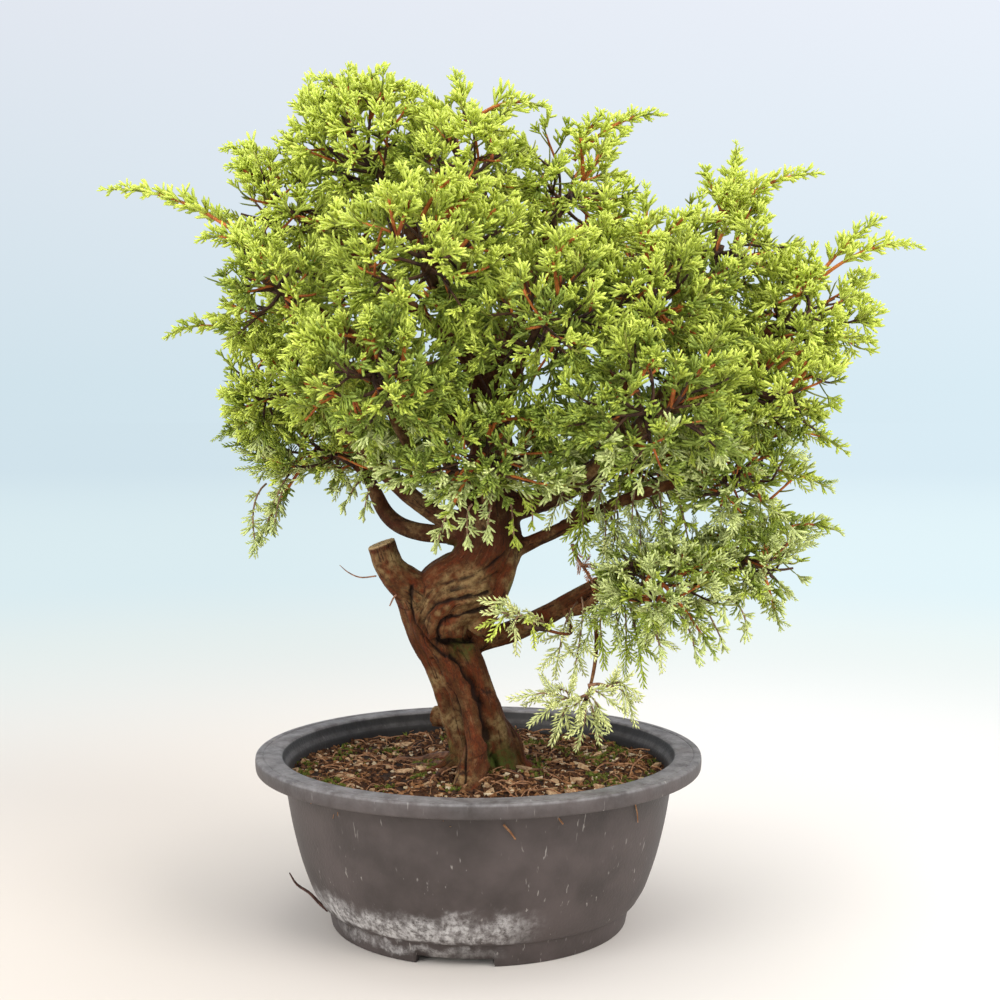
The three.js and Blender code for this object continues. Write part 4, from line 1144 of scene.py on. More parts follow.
def trunk_form(lines):
    """The stem, its roots, stub, knob and live veins, and a collar where each limb leaves it."""
    trunk = lines["trunk"]
    form = Form()
    lower = np.clip((KNEE_LEVEL - trunk.places[:, 2]) / 14, 0, 1)
    form.tube(trunk.places, fluted(trunk) * (1 - (1 - BETWEEN_VEINS) * lower)[:, None], TRUNK_SIDES)
    crest = trunk.at(ROOT_CREST / trunk.length)
    roots = [root_line(root, crest) for root in ROOTS]
    extra = [smooth_line(stations, LINE_STATIONS) for stations in (SAWN_STUB, KNOB, *VEINS)]
    for line in (*roots, *extra):
        form.tube(line.places, line.radii, 16)
    for name, (parent, *_) in LIMBS.items():
        if parent == "trunk":
            line = lines[name]
            end = min(0.6, 30 / line.length)
            places, radii = line.part(0, end, 12)
            form.tube(places, radii * np.linspace(1.5, 0.8, 12), 12)
    return form, [trunk, *roots, *extra[:2]]


def with_values(mesh, name, values, kind="FLOAT"):
    """Gives every vertex its own value, or all of them the same."""
    values = np.full(len(mesh.vertices), values, np.int32 if kind == "INT" else np.float32)
    mesh.attributes.new(name, kind, "POINT").data.foreach_set("value", values)


def with_places(mesh, name, places):
    """Gives every vertex its own place or direction."""
    attribute = mesh.attributes.new(name, "FLOAT_VECTOR", "POINT")
    attribute.data.foreach_set("vector", np.asarray(places, np.float32).ravel())


def with_bark(mesh, grain, **shares):
    """Gives a mesh what the bark's finish reads: the grain, and a share under each name."""
    with_places(mesh, "grain", grain)
    for name, values in shares.items():
        with_values(mesh, name, values)


def make_trunk_mesh(lines, settings, finish):
    """The trunk's skin as one mesh, with its folds and its bark's relief pressed into it."""
    form, grain_lines = trunk_form(lines)
    piece = form.piece("trunk_bark", [finish])
    remesh = piece.modifiers.new("one skin", "REMESH")
    remesh.mode = "VOXEL"
    remesh.voxel_size = settings.fineness
    soften = piece.modifiers.new("soft joins", "SMOOTH")
    soften.factor = 0.5
    soften.iterations = 5
    made_plain(piece)
    mesh = piece.data
    places = corners_of(mesh)
    grain, radius = grain_of(grain_lines, places)
    folds, rolls = folded(places)
    relief = bark_relief(grain, radius, settings.relief / MM)
    cut = sawn_share(places)
    out = normals_of(mesh)
    moved = places + out * (relief * (1 - cut) + rolls - folds)[:, None]
    moved[:, 2] = np.maximum(moved[:, 2], SOIL_TOP / MM - 7)
    mesh.vertices.foreach_set("co", (moved * MM + AXIS).ravel())
    # The share of painted shade is deepest in the folds and where the bark's relief sinks.
    with_bark(
        mesh,
        grain,
        groove=np.clip(folds / 2.4 - relief * 0.6, 0, 1),
        moss=spotted(moved, MOSS_SPOTS),
        cut=cut,
        pale=spotted(moved, PALE_SPOTS),
        slender=0,
    )
    mesh.shade_smooth()
    mesh.update()
    return piece


def sawn_share(places):
    """How much of each place belongs to the stub's sawn face."""
    tip = np.array(SAWN_STUB[-1][:3], float)
    heading = unit(tip - np.array(SAWN_STUB[-2][:3], float))
    along = (places - tip) @ heading
    aside = np.linalg.norm(places - tip - along[:, None] * heading, axis=1)
    return np.clip((along + 0.9) / 0.4, 0, 1) * (aside < 8)


def spotted(places, spots):
    """A share from 0 to 1, highest at the middle of each spot and broken up towards its edge."""
    share = np.zeros(len(places))
    for middle, reach in spots:
        gaps = np.linalg.norm(places - np.array(middle, float), axis=1) / reach
        share = np.maximum(share, np.clip(1.3 - gaps, 0, 1))
    broken = lattice_noise(places / 2.2, 31) * 0.5 + 0.5
    return np.clip(share * 2 * broken, 0, 1)


def bark(settings):
    """Red-brown juniper bark: stringy along the limb, grey-green lichen, painted shade in its folds and
    hollows, pale sawn end.
    """
    finish = Finish("juniper bark", roughness=0.8, specular=0.16)
    grain = finish.read("grain", "Vector")
    strips = finish.noise(1.0, 5, finish.moved(scale=(0.3, 0.3, 0.06), places=grain), 0.7)
    duller = finish.level(strips, 0.36, 0.6)
    finish.colour = finish.mix(duller, settings.live_bark, settings.old_bark)
    thin = finish.noise(1.0, 6, finish.moved(scale=(0.9, 0.9, 0.14), places=grain), 0.72)
    finish.over(finish.level(thin, 0.54, 0.7, 0, 0.45), (146, 106, 72))
    finish.over(finish.level(thin, 0.46, 0.3, 0, 0.6), (50, 28, 17))
    fibres = finish.noise(1.0, 4, finish.moved(scale=(3.2, 3.2, 0.45), places=grain), 0.6)
    finish.over(finish.level(fibres, 0.5, 0.36, 0, 0.45), (38, 21, 13))
    worn = finish.product(finish.read("pale"), 0.27)
    patches = finish.sum(finish.noise(75, 5, roughness=0.6), worn)
    mottled = finish.noise(420, 4)
    speckle = finish.level(mottled, 0.3, 0.62, 0.25, 0.85)
    lichen = finish.product(finish.level(patches, 0.47, 0.84), speckle)
    smooth = finish.product(finish.level(finish.axis(2), *[level * MM for level in SMOOTH_BARK]), 0.7)
    finish.over(smooth, settings.young_bark)
    slender = finish.product(finish.read("slender"), finish.level(mottled, 0.3, 0.6, 0.4, 1))
    finish.over(slender, (124, 70, 42))
    finish.over(lichen, settings.lichen)
    speckled = finish.noise(900, 3)
    finish.over(finish.level(speckled, 0.5, 0.36, 0, 0.45), (44, 26, 16))
    ragged = finish.product(finish.noise(260, 4), 0.09)
    broken = finish.level(finish.noise(95, 3), 0.56, 0.42, 0, 0.12)
    split = finish.cracks(1.0, finish.moved(scale=(0.2, 0.2, 0.022), places=grain))
    split = finish.sum(split, finish.sum(ragged, broken))
    finish.over(finish.level(split, 0.085, 0.045, 0, 0.8), (36, 20, 13))
    # Painted shade: the folds and the sunken bark darkened nearly to black.
    groove = finish.read("groove")
    finish.over(finish.level(groove, 0.15, 0.8, 0, 0.9), (30, 18, 12))
    moss = finish.product(finish.read("moss"), finish.level(mottled, 0.35, 0.6, 0.3, 1))
    finish.over(moss, (72, 82, 30))
    rings = finish.noise(260, 3)
    sawn = finish.mix(rings, colour_of(158, 128, 92), colour_of(190, 160, 118))
    finish.colour = finish.mix(finish.read("cut"), finish.colour, sawn)
    height = finish.sum(finish.product(strips, 0.7), finish.product(thin, 0.6))
    height = finish.sum(height, finish.product(mottled, 0.5))
    height = finish.sum(height, finish.product(fibres, 0.4))
    height = finish.sum(height, finish.level(split, 0.03, 0.11, 0, 0.7))
    return finish.done(finish.level(strips, 0.2, 0.8, 0.68, 0.92), height, depth=0.8, strength=0.9)


def make_bough_mesh(lines, settings, finish):
    """All the limbs, each with a swollen collar at its root, and bark that grows finer with them."""
    form = Form()
    for name, line in lines.items():
        if name == "trunk":
            continue
        count = max(8, int(line.length / 1.3))
        places, radii = line.part(0, 1, count)
        collar = 1 + 0.22 * np.exp(-np.linspace(0, 1, count) * line.length / 5)
        slim = SLIM_SHARE if name in FEATHERY else 1
        form.tube(places, radii * collar * slim, 20)
    piece = form.piece("bough_bark", [finish])
    mesh = piece.data
    places = corners_of(mesh)
    limbs = [line for name, line in lines.items() if name != "trunk"]
    grain, radius = grain_of(limbs, places)
    relief = bark_relief(grain, radius, settings.relief / MM)
    moved = places + normals_of(mesh) * relief[:, None]
    mesh.vertices.foreach_set("co", (moved * MM + AXIS).ravel())
    # Painted shade where the bark's relief sinks.
    groove = np.clip(-relief * 1.4 + 0.1, 0, 1)
    slender = np.clip((3.4 - radius) / 1.4, 0, 0.9)
    with_bark(mesh, grain, groove=groove, moss=0, cut=0, pale=0.25, slender=slender)
    mesh.update()
    return piece


# Foliage: the rule that the masses of the solids grow by, carried on to finer twigs


def depths(places):
    """How deep each place lies in every mass's space: 0 at its middle and 1 at its edge."""
    return np.linalg.norm((places[:, None, :] - MIDDLES) / HALVES, axis=2)


def keeps_to(k, places):
    """Whether each place lies in one mass's own space, and not deeper in another's."""
    deep = depths(places)
    own = deep[:, k]
    others = np.delete(deep, k, axis=1)
    return (own <= MASS_EDGE) & np.all((others > CLEAR_OF_OTHERS) | (own[:, None] < others), axis=1)


def spread_ways(count, turn):
    """Directions spread evenly over a ball by the golden angle."""
    n = np.arange(count)
    height = 1 - (2 * n + 1) / count
    flat = np.sqrt(1 - height**2)
    angle = turn + n * GOLDEN_ANGLE
    return np.column_stack([flat * np.cos(angle), flat * np.sin(angle), height])


def furthest(k, ways, wanted):
    """The share of its half-size that each way may reach and still keep to the mass's own space."""
    reach = np.zeros(len(ways))
    going = np.ones(len(ways), bool)
    for share in np.linspace(0.1, 1.0, 16):
        tried = share * wanted
        going &= keeps_to(k, MIDDLES[k] + ways * HALVES[k] * tried[:, None])
        reach = np.where(going, tried, reach)
    return reach


def swept(start, end, heading, count):
    """Places along a path that comes to its end along a heading."""
    pull = np.linalg.norm(end - start) * 0.45
    return cubic(start, start * 0.7 + end * 0.3, end - heading * pull, end, count)


def bowed(start, end, bow, count):
    """Places along a path from start to end that bows by an offset in its middle."""
    t = np.linspace(0, 1, count)[:, None]
    return (1 - t) * start + t * end + 4 * t * (1 - t) * bow


class Growth:
    """What grows in the masses: wood as paths with radii, and the sprays' points."""

    def __init__(self):
        self.wood = []
        self.sprays = {name: [] for name in MASS_NAMES}

    def spray(self, mass, place, heading, facing, size, tint, kind):
        self.sprays[mass].append((*place, *heading, *facing, size, tint, kind))


def tint_for(rng, place, light):
    """Which green a spray gets, as painted light and shade over the foliage's own greens: brighter where it
    stands out, high up and on the right, greyer low down and darker inside.
    """
    x, _, z = place
    low = np.clip((SHADE_LEVEL - z) / 60, 0, 0.85)
    if rng.random() < low:
        if rng.random() < 0.4 + 0.6 * light:
            return GREY
        return FRESH if rng.random() < 0.6 else DEEP
    # Painted light: sprays far to the right, towards the key lamp, and low on the left, where the fill is
    # weak, are brighter.
    far_right = np.clip((x - 100) / 50, 0, 1)
    low_left = np.clip((-20 - x) / 50, 0, 1) * np.clip((285 - z) / 30, 0, 1)
    light += 0.7 * (z - LIGHT_LEVEL) / 115 + 0.5 * far_right + rng.normal(0, 0.16)
    light += 0.22 * low_left
    if light > 0.62:
        return SUNLIT
    return FRESH if light > 0.3 else DEEP


def open_to_sky(place):
    """Whether the crown is open where this place shows from the front."""
    seen = EYE + (place - EYE) * (-EYE[1] / (place[1] - EYE[1]))
    gaps = np.hypot(seen[0] - OPEN_SKY[:, 0], seen[2] - OPEN_SKY[:, 1])
    return bool(np.any(gaps < OPEN_SKY[:, 2]))


def within_crown(place):
    """Whether a place lies in or near a mass, and not where the crown is open."""
    return not open_to_sky(place) and depths(place[None]).min() < CROWN_EDGE


def kinds_for(name):
    """Which sprays a mass bears: fans, and some young needles too low down."""
    return list(range(FAN_KINDS + (FEATHER_KINDS if name in PARTLY_FEATHERY else 0)))


def ways_round(line, turn, shares):
    """At each share of a shoot: its station there, and a way out of it, turned by the golden angle."""
    firsts, seconds = cross_frames(line.places)
    for n, share in enumerate(shares):
        i = int(round(share * (len(line.places) - 1)))
        angle = turn + n * GOLDEN_ANGLE
        yield share, i, firsts[i] * math.cos(angle) + seconds[i] * math.sin(angle)


def grow_sprays(growth, rng, mass, line, start, step, sizes, light, lean=0.7, free=False, kinds=None):
    """Side sprays along a shoot, turned about it by the golden angle, and one at its tip."""
    kinds = kinds or kinds_for(mass)
    count = max(1, int(line.length * (1 - start) / step))
    turn = rng.uniform(0, 2 * math.pi)
    shares = [start + (1 - start) * n / count for n in range(count + 1)]
    for n, (share, i, aside) in enumerate(ways_round(line, turn, shares)):
        place, heading = line.places[i], line.headings[i]
        size = np.interp(share, (start, 1), sizes) * rng.uniform(0.85, 1.15)
        if n < count:
            heading = unit(heading * 0.9 + aside * lean + UP * 0.22)
        if not free and not within_crown(place + heading * size * SPRAY_REACH * 0.8):
            continue
        facing = np.cross(heading, UP) + rng.normal(0, 0.5, 3)
        tint = light if isinstance(light, int) else tint_for(rng, place, light + 0.3 * share - 0.1)
        growth.spray(mass, place - heading, heading, facing, size, tint, rng.choice(kinds))


def grow_plume(growth, rng, name, plume, light):
    """The side shoots of a shoot, shorter towards its tip, and the sprays on them and on it."""
    turn = rng.uniform(0, 2 * math.pi)
    count = max(2, int(plume.length * 0.68 / SIDE_STEP))
    shares = [0.22 + 0.7 * n / count for n in range(count)]
    for share, i, aside in ways_round(plume, turn, shares):
        heading = unit(plume.headings[i] * 0.75 + aside * 0.85 + UP * 0.2)
        reach = SIDE_SHOOT * (1.15 - share) * rng.uniform(0.75, 1.2)
        start = plume.places[i]
        arrival = unit(heading + plume.headings[i] * 0.6)
        side = Line(swept(start, start + heading * reach, arrival, 6), np.linspace(0.45, 0.34, 6), 6)
        growth.wood.append((side.places[[0, 2, 4, 5]], side.radii[[0, 2, 4, 5]], GREEN_WOOD, 3))
        sizes = (0.95, 0.85 - 0.25 * share)
        grow_sprays(growth, rng, name, side, 0.4, SPRAY_STEP, sizes, light + 0.35 * share)
    grow_sprays(growth, rng, name, plume, 0.55, SPRAY_STEP * 1.2, (0.85, 0.7), light + 0.1)


def grow_twigs(growth, rng, k, stem):
    """Twigs from the stem, spread evenly through the mass."""
    middle, half = MIDDLES[k], HALVES[k]
    back = unit(stem.places[0] - middle)
    ways = spread_ways(TWIGS_PER_MASS, rng.uniform(0, 2 * math.pi))
    reaches = furthest(k, ways, TWIG_REACH * rng.uniform(0.85, 1.15, TWIGS_PER_MASS))
    twigs = []
    for way, reach in zip(ways, reaches):
        if reach < LEAST_TWIG or way @ back > TOWARDS_LIMB:
            continue
        end = middle + way * half * reach
        root = stem.at(0.25 + 0.75 * rng.random())
        bow = unit(np.cross(way, rng.normal(0, 1, 3))) * 1.5 - UP * 1.5
        twig = Line(bowed(root, end, bow, 8), np.linspace(0.95, 0.55, 8), 8)
        twigs.append(twig)
        growth.wood.append((twig.places, twig.radii, OLD_WOOD, 6))
    return twigs or [stem]


def grow_mass(growth, k, lines):
    """One mass: a stem in from its limb, twigs from the stem, and shoots from the twigs."""
    name = MASS_NAMES[k]
    rng = np.random.default_rng(MASS_SEED + 17 * k)
    middle, half = MIDDLES[k], HALVES[k]
    limb = lines.get(name, lines["trunk"])
    start, heading = limb.places[-1], limb.headings[-1]
    stem = arc_line(start, start + heading * 4, start * 0.4 + middle * 0.6, middle, (limb.radii[-1], 1.1))
    growth.wood.append((stem.places[::5], stem.radii[::5], OLD_WOOD, 8))
    if name in FEATHERY:
        return
    twigs = grow_twigs(growth, rng, k, stem)
    ends = np.array([twig.places[-1] for twig in twigs])

    size_share = float(np.clip(half.mean() / 33, 0.6, 1))
    count = int(PLUMES_PER_MASS * size_share**2)
    ways = spread_ways(count, rng.uniform(0, 2 * math.pi))
    ways = unit(ways + rng.normal(0, 0.14, ways.shape))
    joined = np.delete(depths(middle + ways * half), k, axis=1).min(axis=1) < 1.3
    wanted = np.where(joined, 1.12, rng.uniform(0.8, 1.16, count))
    room = 0.5 * SPRAY_REACH / np.linalg.norm(ways * half, axis=1)
    reaches = furthest(k, ways, wanted) - np.where(joined, 0.3 * room, room)
    tips = middle + ways * half * reaches[:, None]
    others = np.delete(depths(tips), k, axis=1).min(axis=1)
    for way, reach, tip, cover in zip(ways, reaches, tips, others):
        inside = reach < DEEP_REACH or cover < COVERED
        if reach < LEAST_REACH or (inside and rng.random() < LEFT_OUT) or open_to_sky(tip):
            continue
        lower = twigs[int(np.linalg.norm(ends + UP * 8 - tip, axis=1).argmin())]
        root = lower.at(0.4 + 0.58 * rng.random())
        plume = Line(swept(root, tip, shoot_heading(rng, way, tip), 13), np.linspace(0.62, 0.42, 13), 13)
        wood = YOUNG_WOOD if rng.random() < (0.15 if inside else 0.45) else OLD_WOOD
        growth.wood.append((plume.places[:9:2], plume.radii[:9:2], wood, 5))
        growth.wood.append((plume.places[8:], plume.radii[8:], GREEN_WOOD, 4))
        # Plumes inside the crown get less painted light, so darker greens.
        grow_plume(growth, rng, name, plume, (0.0 if inside else 0.3) + rng.normal(0, 0.12))

    for tip in MASSES[name][2]:
        tip = np.array(tip, float)
        root = middle + (0, 0, 0.4 * half[2]) if tip[2] > middle[2] else middle
        grow_long_shoot(growth, rng, name, root, tip, 1.0)
    for n in range(LEADERS_PER_MASS):
        turn = rng.uniform(0, 2 * math.pi) if n else -math.pi / 2
        way = unit(np.array([0.75 * math.cos(turn), 0.75 * math.sin(turn), rng.uniform(0.35, 1.1)]))
        reach = furthest(k, way[None], np.array([rng.uniform(1.0, 1.16)]))[0]
        tip = middle + way * half * reach
        if reach > 0.7 and not open_to_sky(tip):
            root = twigs[int((ends @ way).argmax())].at(0.7)
            grow_long_shoot(growth, rng, name, root, tip, 0.95)


def shoot_heading(rng, way, tip):
    """The way a shoot points at its tip: out of its mass, out of the crown and up."""
    lift = 0.42 if way[2] > -0.45 else 0.12
    return unit(0.5 * way + 0.4 * unit(tip - CROWN_HEART) + lift * UP + rng.normal(0, 0.12, 3))


def grow_long_shoot(growth, rng, name, root, tip, thick):
    """A shoot that stands out of its mass: bare and ruddy low down, then a slim plume to its tip."""
    length = np.linalg.norm(tip - root)
    sideways = np.hypot(*(tip - root)[:2]) / length
    bow = UP * length * (0.16 * sideways - 0.03) + rng.normal(0, 0.02, 3) * length
    end = tip - unit(tip - root) * 4
    shoot = Line(bowed(root, end, bow, 25), np.linspace(thick, 0.42, 25), 25)
    growth.wood.append((shoot.places[:19:2], shoot.radii[:19:2], YOUNG_WOOD, 6))
    growth.wood.append((shoot.places[18:], shoot.radii[18:], GREEN_WOOD, 5))
    bare = 0.35 if length > 24 else 0.2
    grow_sprays(growth, rng, name, shoot, bare, 1.8, (1.1, 0.5), 0.55, lean=0.75, free=True)


def grow_sprig(growth, rng, name, root, tip, kinds, tint, step, sizes):
    """A thin stem that bows a little, with sprays along both its sides and one at its tip."""
    root, tip = np.array(root, float), np.array(tip, float)
    length = np.linalg.norm(tip - root)
    bow = np.array([0.0, -0.08, 0.1]) * length + rng.normal(0, 0.05, 3) * length
    stem = Line(bowed(root, tip - unit(tip - root) * SPRAY_REACH * 0.7, bow, 9), np.linspace(0.5, 0.34, 9), 9)
    growth.wood.append((stem.places, stem.radii, THIN_WOOD, 5))
    grow_sprays(growth, rng, name, stem, 0.3, step, sizes, tint, lean=0.85, free=True, kinds=kinds)


def grow_sprigs(growth):
    """The sprigs that hang by themselves, the hanging tuft and the sprig before the knee."""
    rng = np.random.default_rng(SPRIG_SEED)
    fans = list(range(FAN_KINDS))
    feathers = list(range(FAN_KINDS, FAN_KINDS + FEATHER_KINDS))
    for root, tip in SCALY_SPRIGS:
        tint = GREY if root[2] < 180 else rng.choice([GREY, FRESH]).item()
        grow_sprig(growth, rng, "right_skirt", root, tip, fans, tint, 2.8, (0.62, 0.78))
    for root, tip in NEEDLED_SPRIGS:
        tint = rng.choice([PALE, FRESH, GREY]).item()
        grow_sprig(growth, rng, "right_skirt", root, tip, feathers, tint, 3.4, (0.9, 1.0))
    for root, tip in TUFT_STEMS:
        grow_sprig(growth, rng, "hanging_tuft", root, tip, feathers, PALE, 2.8, (0.85, 0.95))
    for root, tip in KNEE_STEMS:
        tint = rng.choice([PALE, SUNLIT]).item()
        grow_sprig(growth, rng, "knee_sprig", root, tip, feathers, tint, 2.8, (0.85, 0.95))
    for stations in BARE_TWIGS[:2]:
        snag = smooth_line(stations, TWIG_STATIONS)
        grow_sprays(growth, rng, "knee_sprig", snag, 0.2, 2.4, (0.45, 0.55), DEAD, free=True, kinds=feathers)


def cord(form, root, heading, length, radius, sides, young):
    """A cord of scale leaves: as thick near its blunt end as at its root."""
    heading = unit(np.asarray(heading, float))
    places = [root, root + heading * length * 0.8, root + heading * length]
    form.tube(places, [radius * 0.85, radius, 0.1], sides, young=young, pointed=True)


def fan_spray(number, cord_radius, sides):
    """A spray of forked cords: an axis of two cords, two pairs of side cords, and two forks."""
    rng = np.random.default_rng(FAN_SEED + number)
    form = Form()
    length = SPRAY_REACH * rng.uniform(0.95, 1.2)
    lean = np.array([rng.uniform(-0.1, 0.1), rng.uniform(-0.14, 0.14), 1.0])
    cord(form, np.zeros(3), lean, length * 0.6, cord_radius * 0.9, sides, False)
    onward = lean + (rng.uniform(-0.3, 0.3), 0.1, 0)
    cord(form, lean * length * 0.5, onward, length * 0.52, cord_radius, sides, True)
    for n in range(4):
        share = 0.1 + 0.14 * n
        side = 1 if n % 2 else -1
        angle = math.radians(rng.uniform(26, 46))
        twist = rng.uniform(-0.9, 0.9)
        across = np.array([side * math.cos(twist), math.sin(twist), 0.0])
        heading = across * math.sin(angle) + UP * math.cos(angle)
        reach = length * (0.74 - 0.4 * share) * rng.uniform(0.85, 1.15)
        root = lean * length * share
        cord(form, root, heading, reach, cord_radius, sides, n > 1)
        if n in (0, 1):
            fork = heading - across * 0.75 + rng.normal(0, 0.2, 3)
            cord(form, root + heading * reach * 0.35, fork, reach * 0.62, cord_radius * 0.95, sides, True)
    return form


def feather_spray(number):
    """A spray of young foliage: plump needles in pairs, nearly flat, along a soft stem."""
    rng = np.random.default_rng(FEATHER_SEED + number)
    form = Form()
    length = 1.3 * SPRAY_REACH
    bend = rng.uniform(-2, 2)
    stem = np.array([(bend * t * t, 0, length * t) for t in np.linspace(0, 1, 3)])
    form.tube(stem, [0.4, 0.5, 0.1], 3, pointed=True)
    for n in range(20):
        t = 0.05 + 0.93 * (n // 2) / 10
        place = np.array([bend * t * t, 0, length * t])
        turn = 0.9 * math.sin(n * 1.7) + (n % 2) * math.pi
        across = np.array([math.cos(turn), math.sin(turn), 0])
        heading = unit(across * 0.7 + UP * (0.65 + 0.8 * t))
        leaf(form, place, heading, 5.0 * (1.1 - 0.5 * t), 0.47, t > 0.3)
    return form


def leaf(form, root, heading, length, radius, young):
    """A needle: a three-sided spindle, thickest past its middle."""
    across = unit(np.cross(heading, (0.3, 1.0, 0.2)))
    other = np.cross(heading, across)
    ring = [
        root + heading * length * 0.62 + radius * (across * math.cos(turn) + other * math.sin(turn))
        for turn in np.arange(3) * 2 * math.pi / 3
    ]
    faces = [(0, 1 + (n + 1) % 3, 1 + n) for n in range(3)] + [(4, 1 + n, 1 + (n + 1) % 3) for n in range(3)]
    form.add([root, *ring, root + heading * length], faces, young=young)


def foliage_finish(name, colour, tip):
    """Scale foliage: one green, a little uneven from place to place, with painted shade between its tiny
    scales.
    """
    finish = Finish(name, roughness=0.52, specular=0.35)
    patches = finish.noise(55, 3)
    finish.colour = finish.mix(finish.level(patches, 0.3, 0.7), colour, tip)
    scales = finish.noise(900, 2)
    # Painted shade: the green at under half its brightness, in small patches between the scales.
    shadow = tuple(0.45 * c for c in colour[:3]) + (1.0,)
    finish.over(finish.level(scales, 0.55, 0.4, 0, 0.35), shadow)
    return finish.done()


def wood_finish(name, colour, dark, scale=160):
    """Twig bark: flaky, streaked with a darker shade."""
    finish = Finish(name, roughness=0.7, specular=0.3)
    streaks = finish.noise(scale, 4)
    finish.colour = finish.mix(finish.level(streaks, 0.35, 0.65), colour_of(*dark), colour_of(*colour))
    flakes = finish.noise(scale * 5, 3)
    return finish.done(finish.level(flakes, 0.3, 0.7, 0.6, 0.85), flakes, depth=0.3)


def spray_points(name, rows):
    """A mesh of bare points that carry what each spray needs."""
    table = np.array(rows, float)
    mesh = bpy.data.meshes.new(name)
    mesh.from_pydata((table[:, :3] * MM + AXIS).tolist(), [], [])
    with_places(mesh, "heading", table[:, 3:6])
    with_places(mesh, "facing", table[:, 6:9])
    with_values(mesh, "size", table[:, 9])
    with_values(mesh, "tint", table[:, 10], "INT")
    with_values(mesh, "kind", table[:, 11], "INT")
    return shown(bpy.data.objects.new(name, mesh))


GROWN = {}


def grown_tree():
    """The grown tree, worked out once: its lines, its wood and its sprays."""
    if not GROWN:
        lines = limb_lines()
        grown = Growth()
        for k in range(len(MASS_NAMES)):
            grow_mass(grown, k, lines)
        grow_sprigs(grown)
        GROWN.update(lines=lines, grown=grown)
    return GROWN["lines"], GROWN["grown"]


# Settings


def colour_setting(label, description, *srgb):
    return bpy.props.FloatVectorProperty(
        name=label, description=description, default=colour_of(*srgb), subtype="COLOR", size=4, min=0, max=1
    )


def measure_setting(label, description, default, unit="LENGTH"):
    return bpy.props.FloatProperty(name=label, description=description, default=default, unit=unit)


def amount_setting(label, description, default):
    return bpy.props.FloatProperty(name=label, description=description, default=default, min=0)


def number_setting(label, description, default, least=0):
    return bpy.props.IntProperty(name=label, description=description, default=default, min=least)


class PotSettings(bpy.types.PropertyGroup):
    """The pot's sizes and colours."""

    rim_radius: measure_setting("Rim radius", "Outside radius of the rim", RIM_RADIUS)
    height: measure_setting("Height", "Height of the rim above the table", RIM_TOP)
    sides: number_setting("Sides", "Faces round the pot", 168, 24)
    colour: colour_setting("Plastic", "The plastic where it is clean", 60, 52, 49)
    faded: colour_setting("Faded", "The plastic where the sun has faded it", 82, 72, 69)
    lime: colour_setting("Lime", "The lime left by hard water above the foot", 204, 199, 195)


class SoilSettings(bpy.types.PropertyGroup):
    """What lies in the pot."""

    chips: amount_setting("Chips", "Chips of bark for each square metre of soil", 150000)
    fibres: amount_setting("Fibres", "Dead rootlets for each square metre of soil", 16000)
    moss: amount_setting("Moss", "Tufts of moss for each square metre of mossy soil", 260000)
    seed: number_setting("Seed", "Changes where every chip lies", 4)


class BarkSettings(bpy.types.PropertyGroup):
    """The bark's relief and colours."""

    fineness: measure_setting("Fineness", "Size of the faces of the trunk's skin", 0.00075)
    relief: measure_setting("Relief", "How far the bark's strips stand out", 0.0006)
    live_bark: colour_setting("Live bark", "The red-brown live veins", 100, 43, 15)
    old_bark: colour_setting("Old bark", "The duller bark between them", 80, 46, 21)
    young_bark: colour_setting("Young bark", "The dark red bark above the knee", 54, 25, 11)
    lichen: colour_setting("Lichen", "Tan and grey-green worn or lichened patches", 150, 122, 80)


class FoliageSettings(bpy.types.PropertyGroup):
    """The foliage's cords and greens."""

    cord_radius: measure_setting("Cord radius", "Radius of a cord of scale leaves", 0.00066)
    cord_sides: number_setting("Cord sides", "Faces round a cord", 3, 3)
    spray_size: amount_setting("Spray size", "Size of the sprays, 1 for their own size", 1)
    # These greens are partly the foliage's own tones and partly painted light and shade: sunlit for the lit
    # sprays, deep for the shaded ones inside, grey for those low down.
    sunlit: colour_setting("Sunlit", "Yellow-green of the newest foliage", 210, 221, 98)
    fresh: colour_setting("Fresh", "Green of this year's foliage", 176, 189, 74)
    deep: colour_setting("Deep", "Green of the older foliage inside", 140, 156, 64)
    grey: colour_setting("Grey", "Grey-green of the shaded foliage low down", 206, 215, 140)
    pale: colour_setting("Pale", "Pale green of the young hanging sprays", 226, 231, 156)
    dead: colour_setting("Dead", "Orange-brown of the dead sprays", 206, 134, 84)


class StageSettings(bpy.types.PropertyGroup):
    """The camera, floor and lights."""

    lens: measure_setting("Lens", "Focal length of the camera, in millimetres", 54.72, "CAMERA")
    distance: measure_setting("Distance", "From the pot's axis to the camera", 0.6801)
    height: measure_setting("Height", "Height of the camera above the table", 0.2273)
    aside: measure_setting("Aside", "How far the camera stands to the right of the pot's axis", 0.00957)
    tilt: measure_setting("Tilt", "How far the camera looks down", math.radians(3.23), "ROTATION")
    # Painted light: the floor is paler on its right, towards the key lamp.
    floor: colour_setting("Floor", "The pale floor near the pot, on its left", 218, 208, 196)
    floor_lit_on_right: colour_setting("Bright floor", "The same, on its right", 231, 225, 217)
    far_floor: colour_setting("Far floor", "The pale floor far behind it", 200, 210, 210)
    # Painted light: far behind the pot the floor glows in these colours instead of being lit.
    near_glow_colour: colour_setting("Near haze", "The floor a little behind the pot", 239, 243, 238)
    glow_colour: colour_setting("Haze", "The floor some way behind the pot", 221, 238, 243)
    surround: colour_setting("Surround", "The studio's wall, low down", 211, 229, 238)


SETTINGS = {
    "bonsai_pot": PotSettings,
    "bonsai_soil": SoilSettings,
    "bonsai_bark": BarkSettings,
    "bonsai_foliage": FoliageSettings,
    "bonsai_stage": StageSettings,
}


# Operators


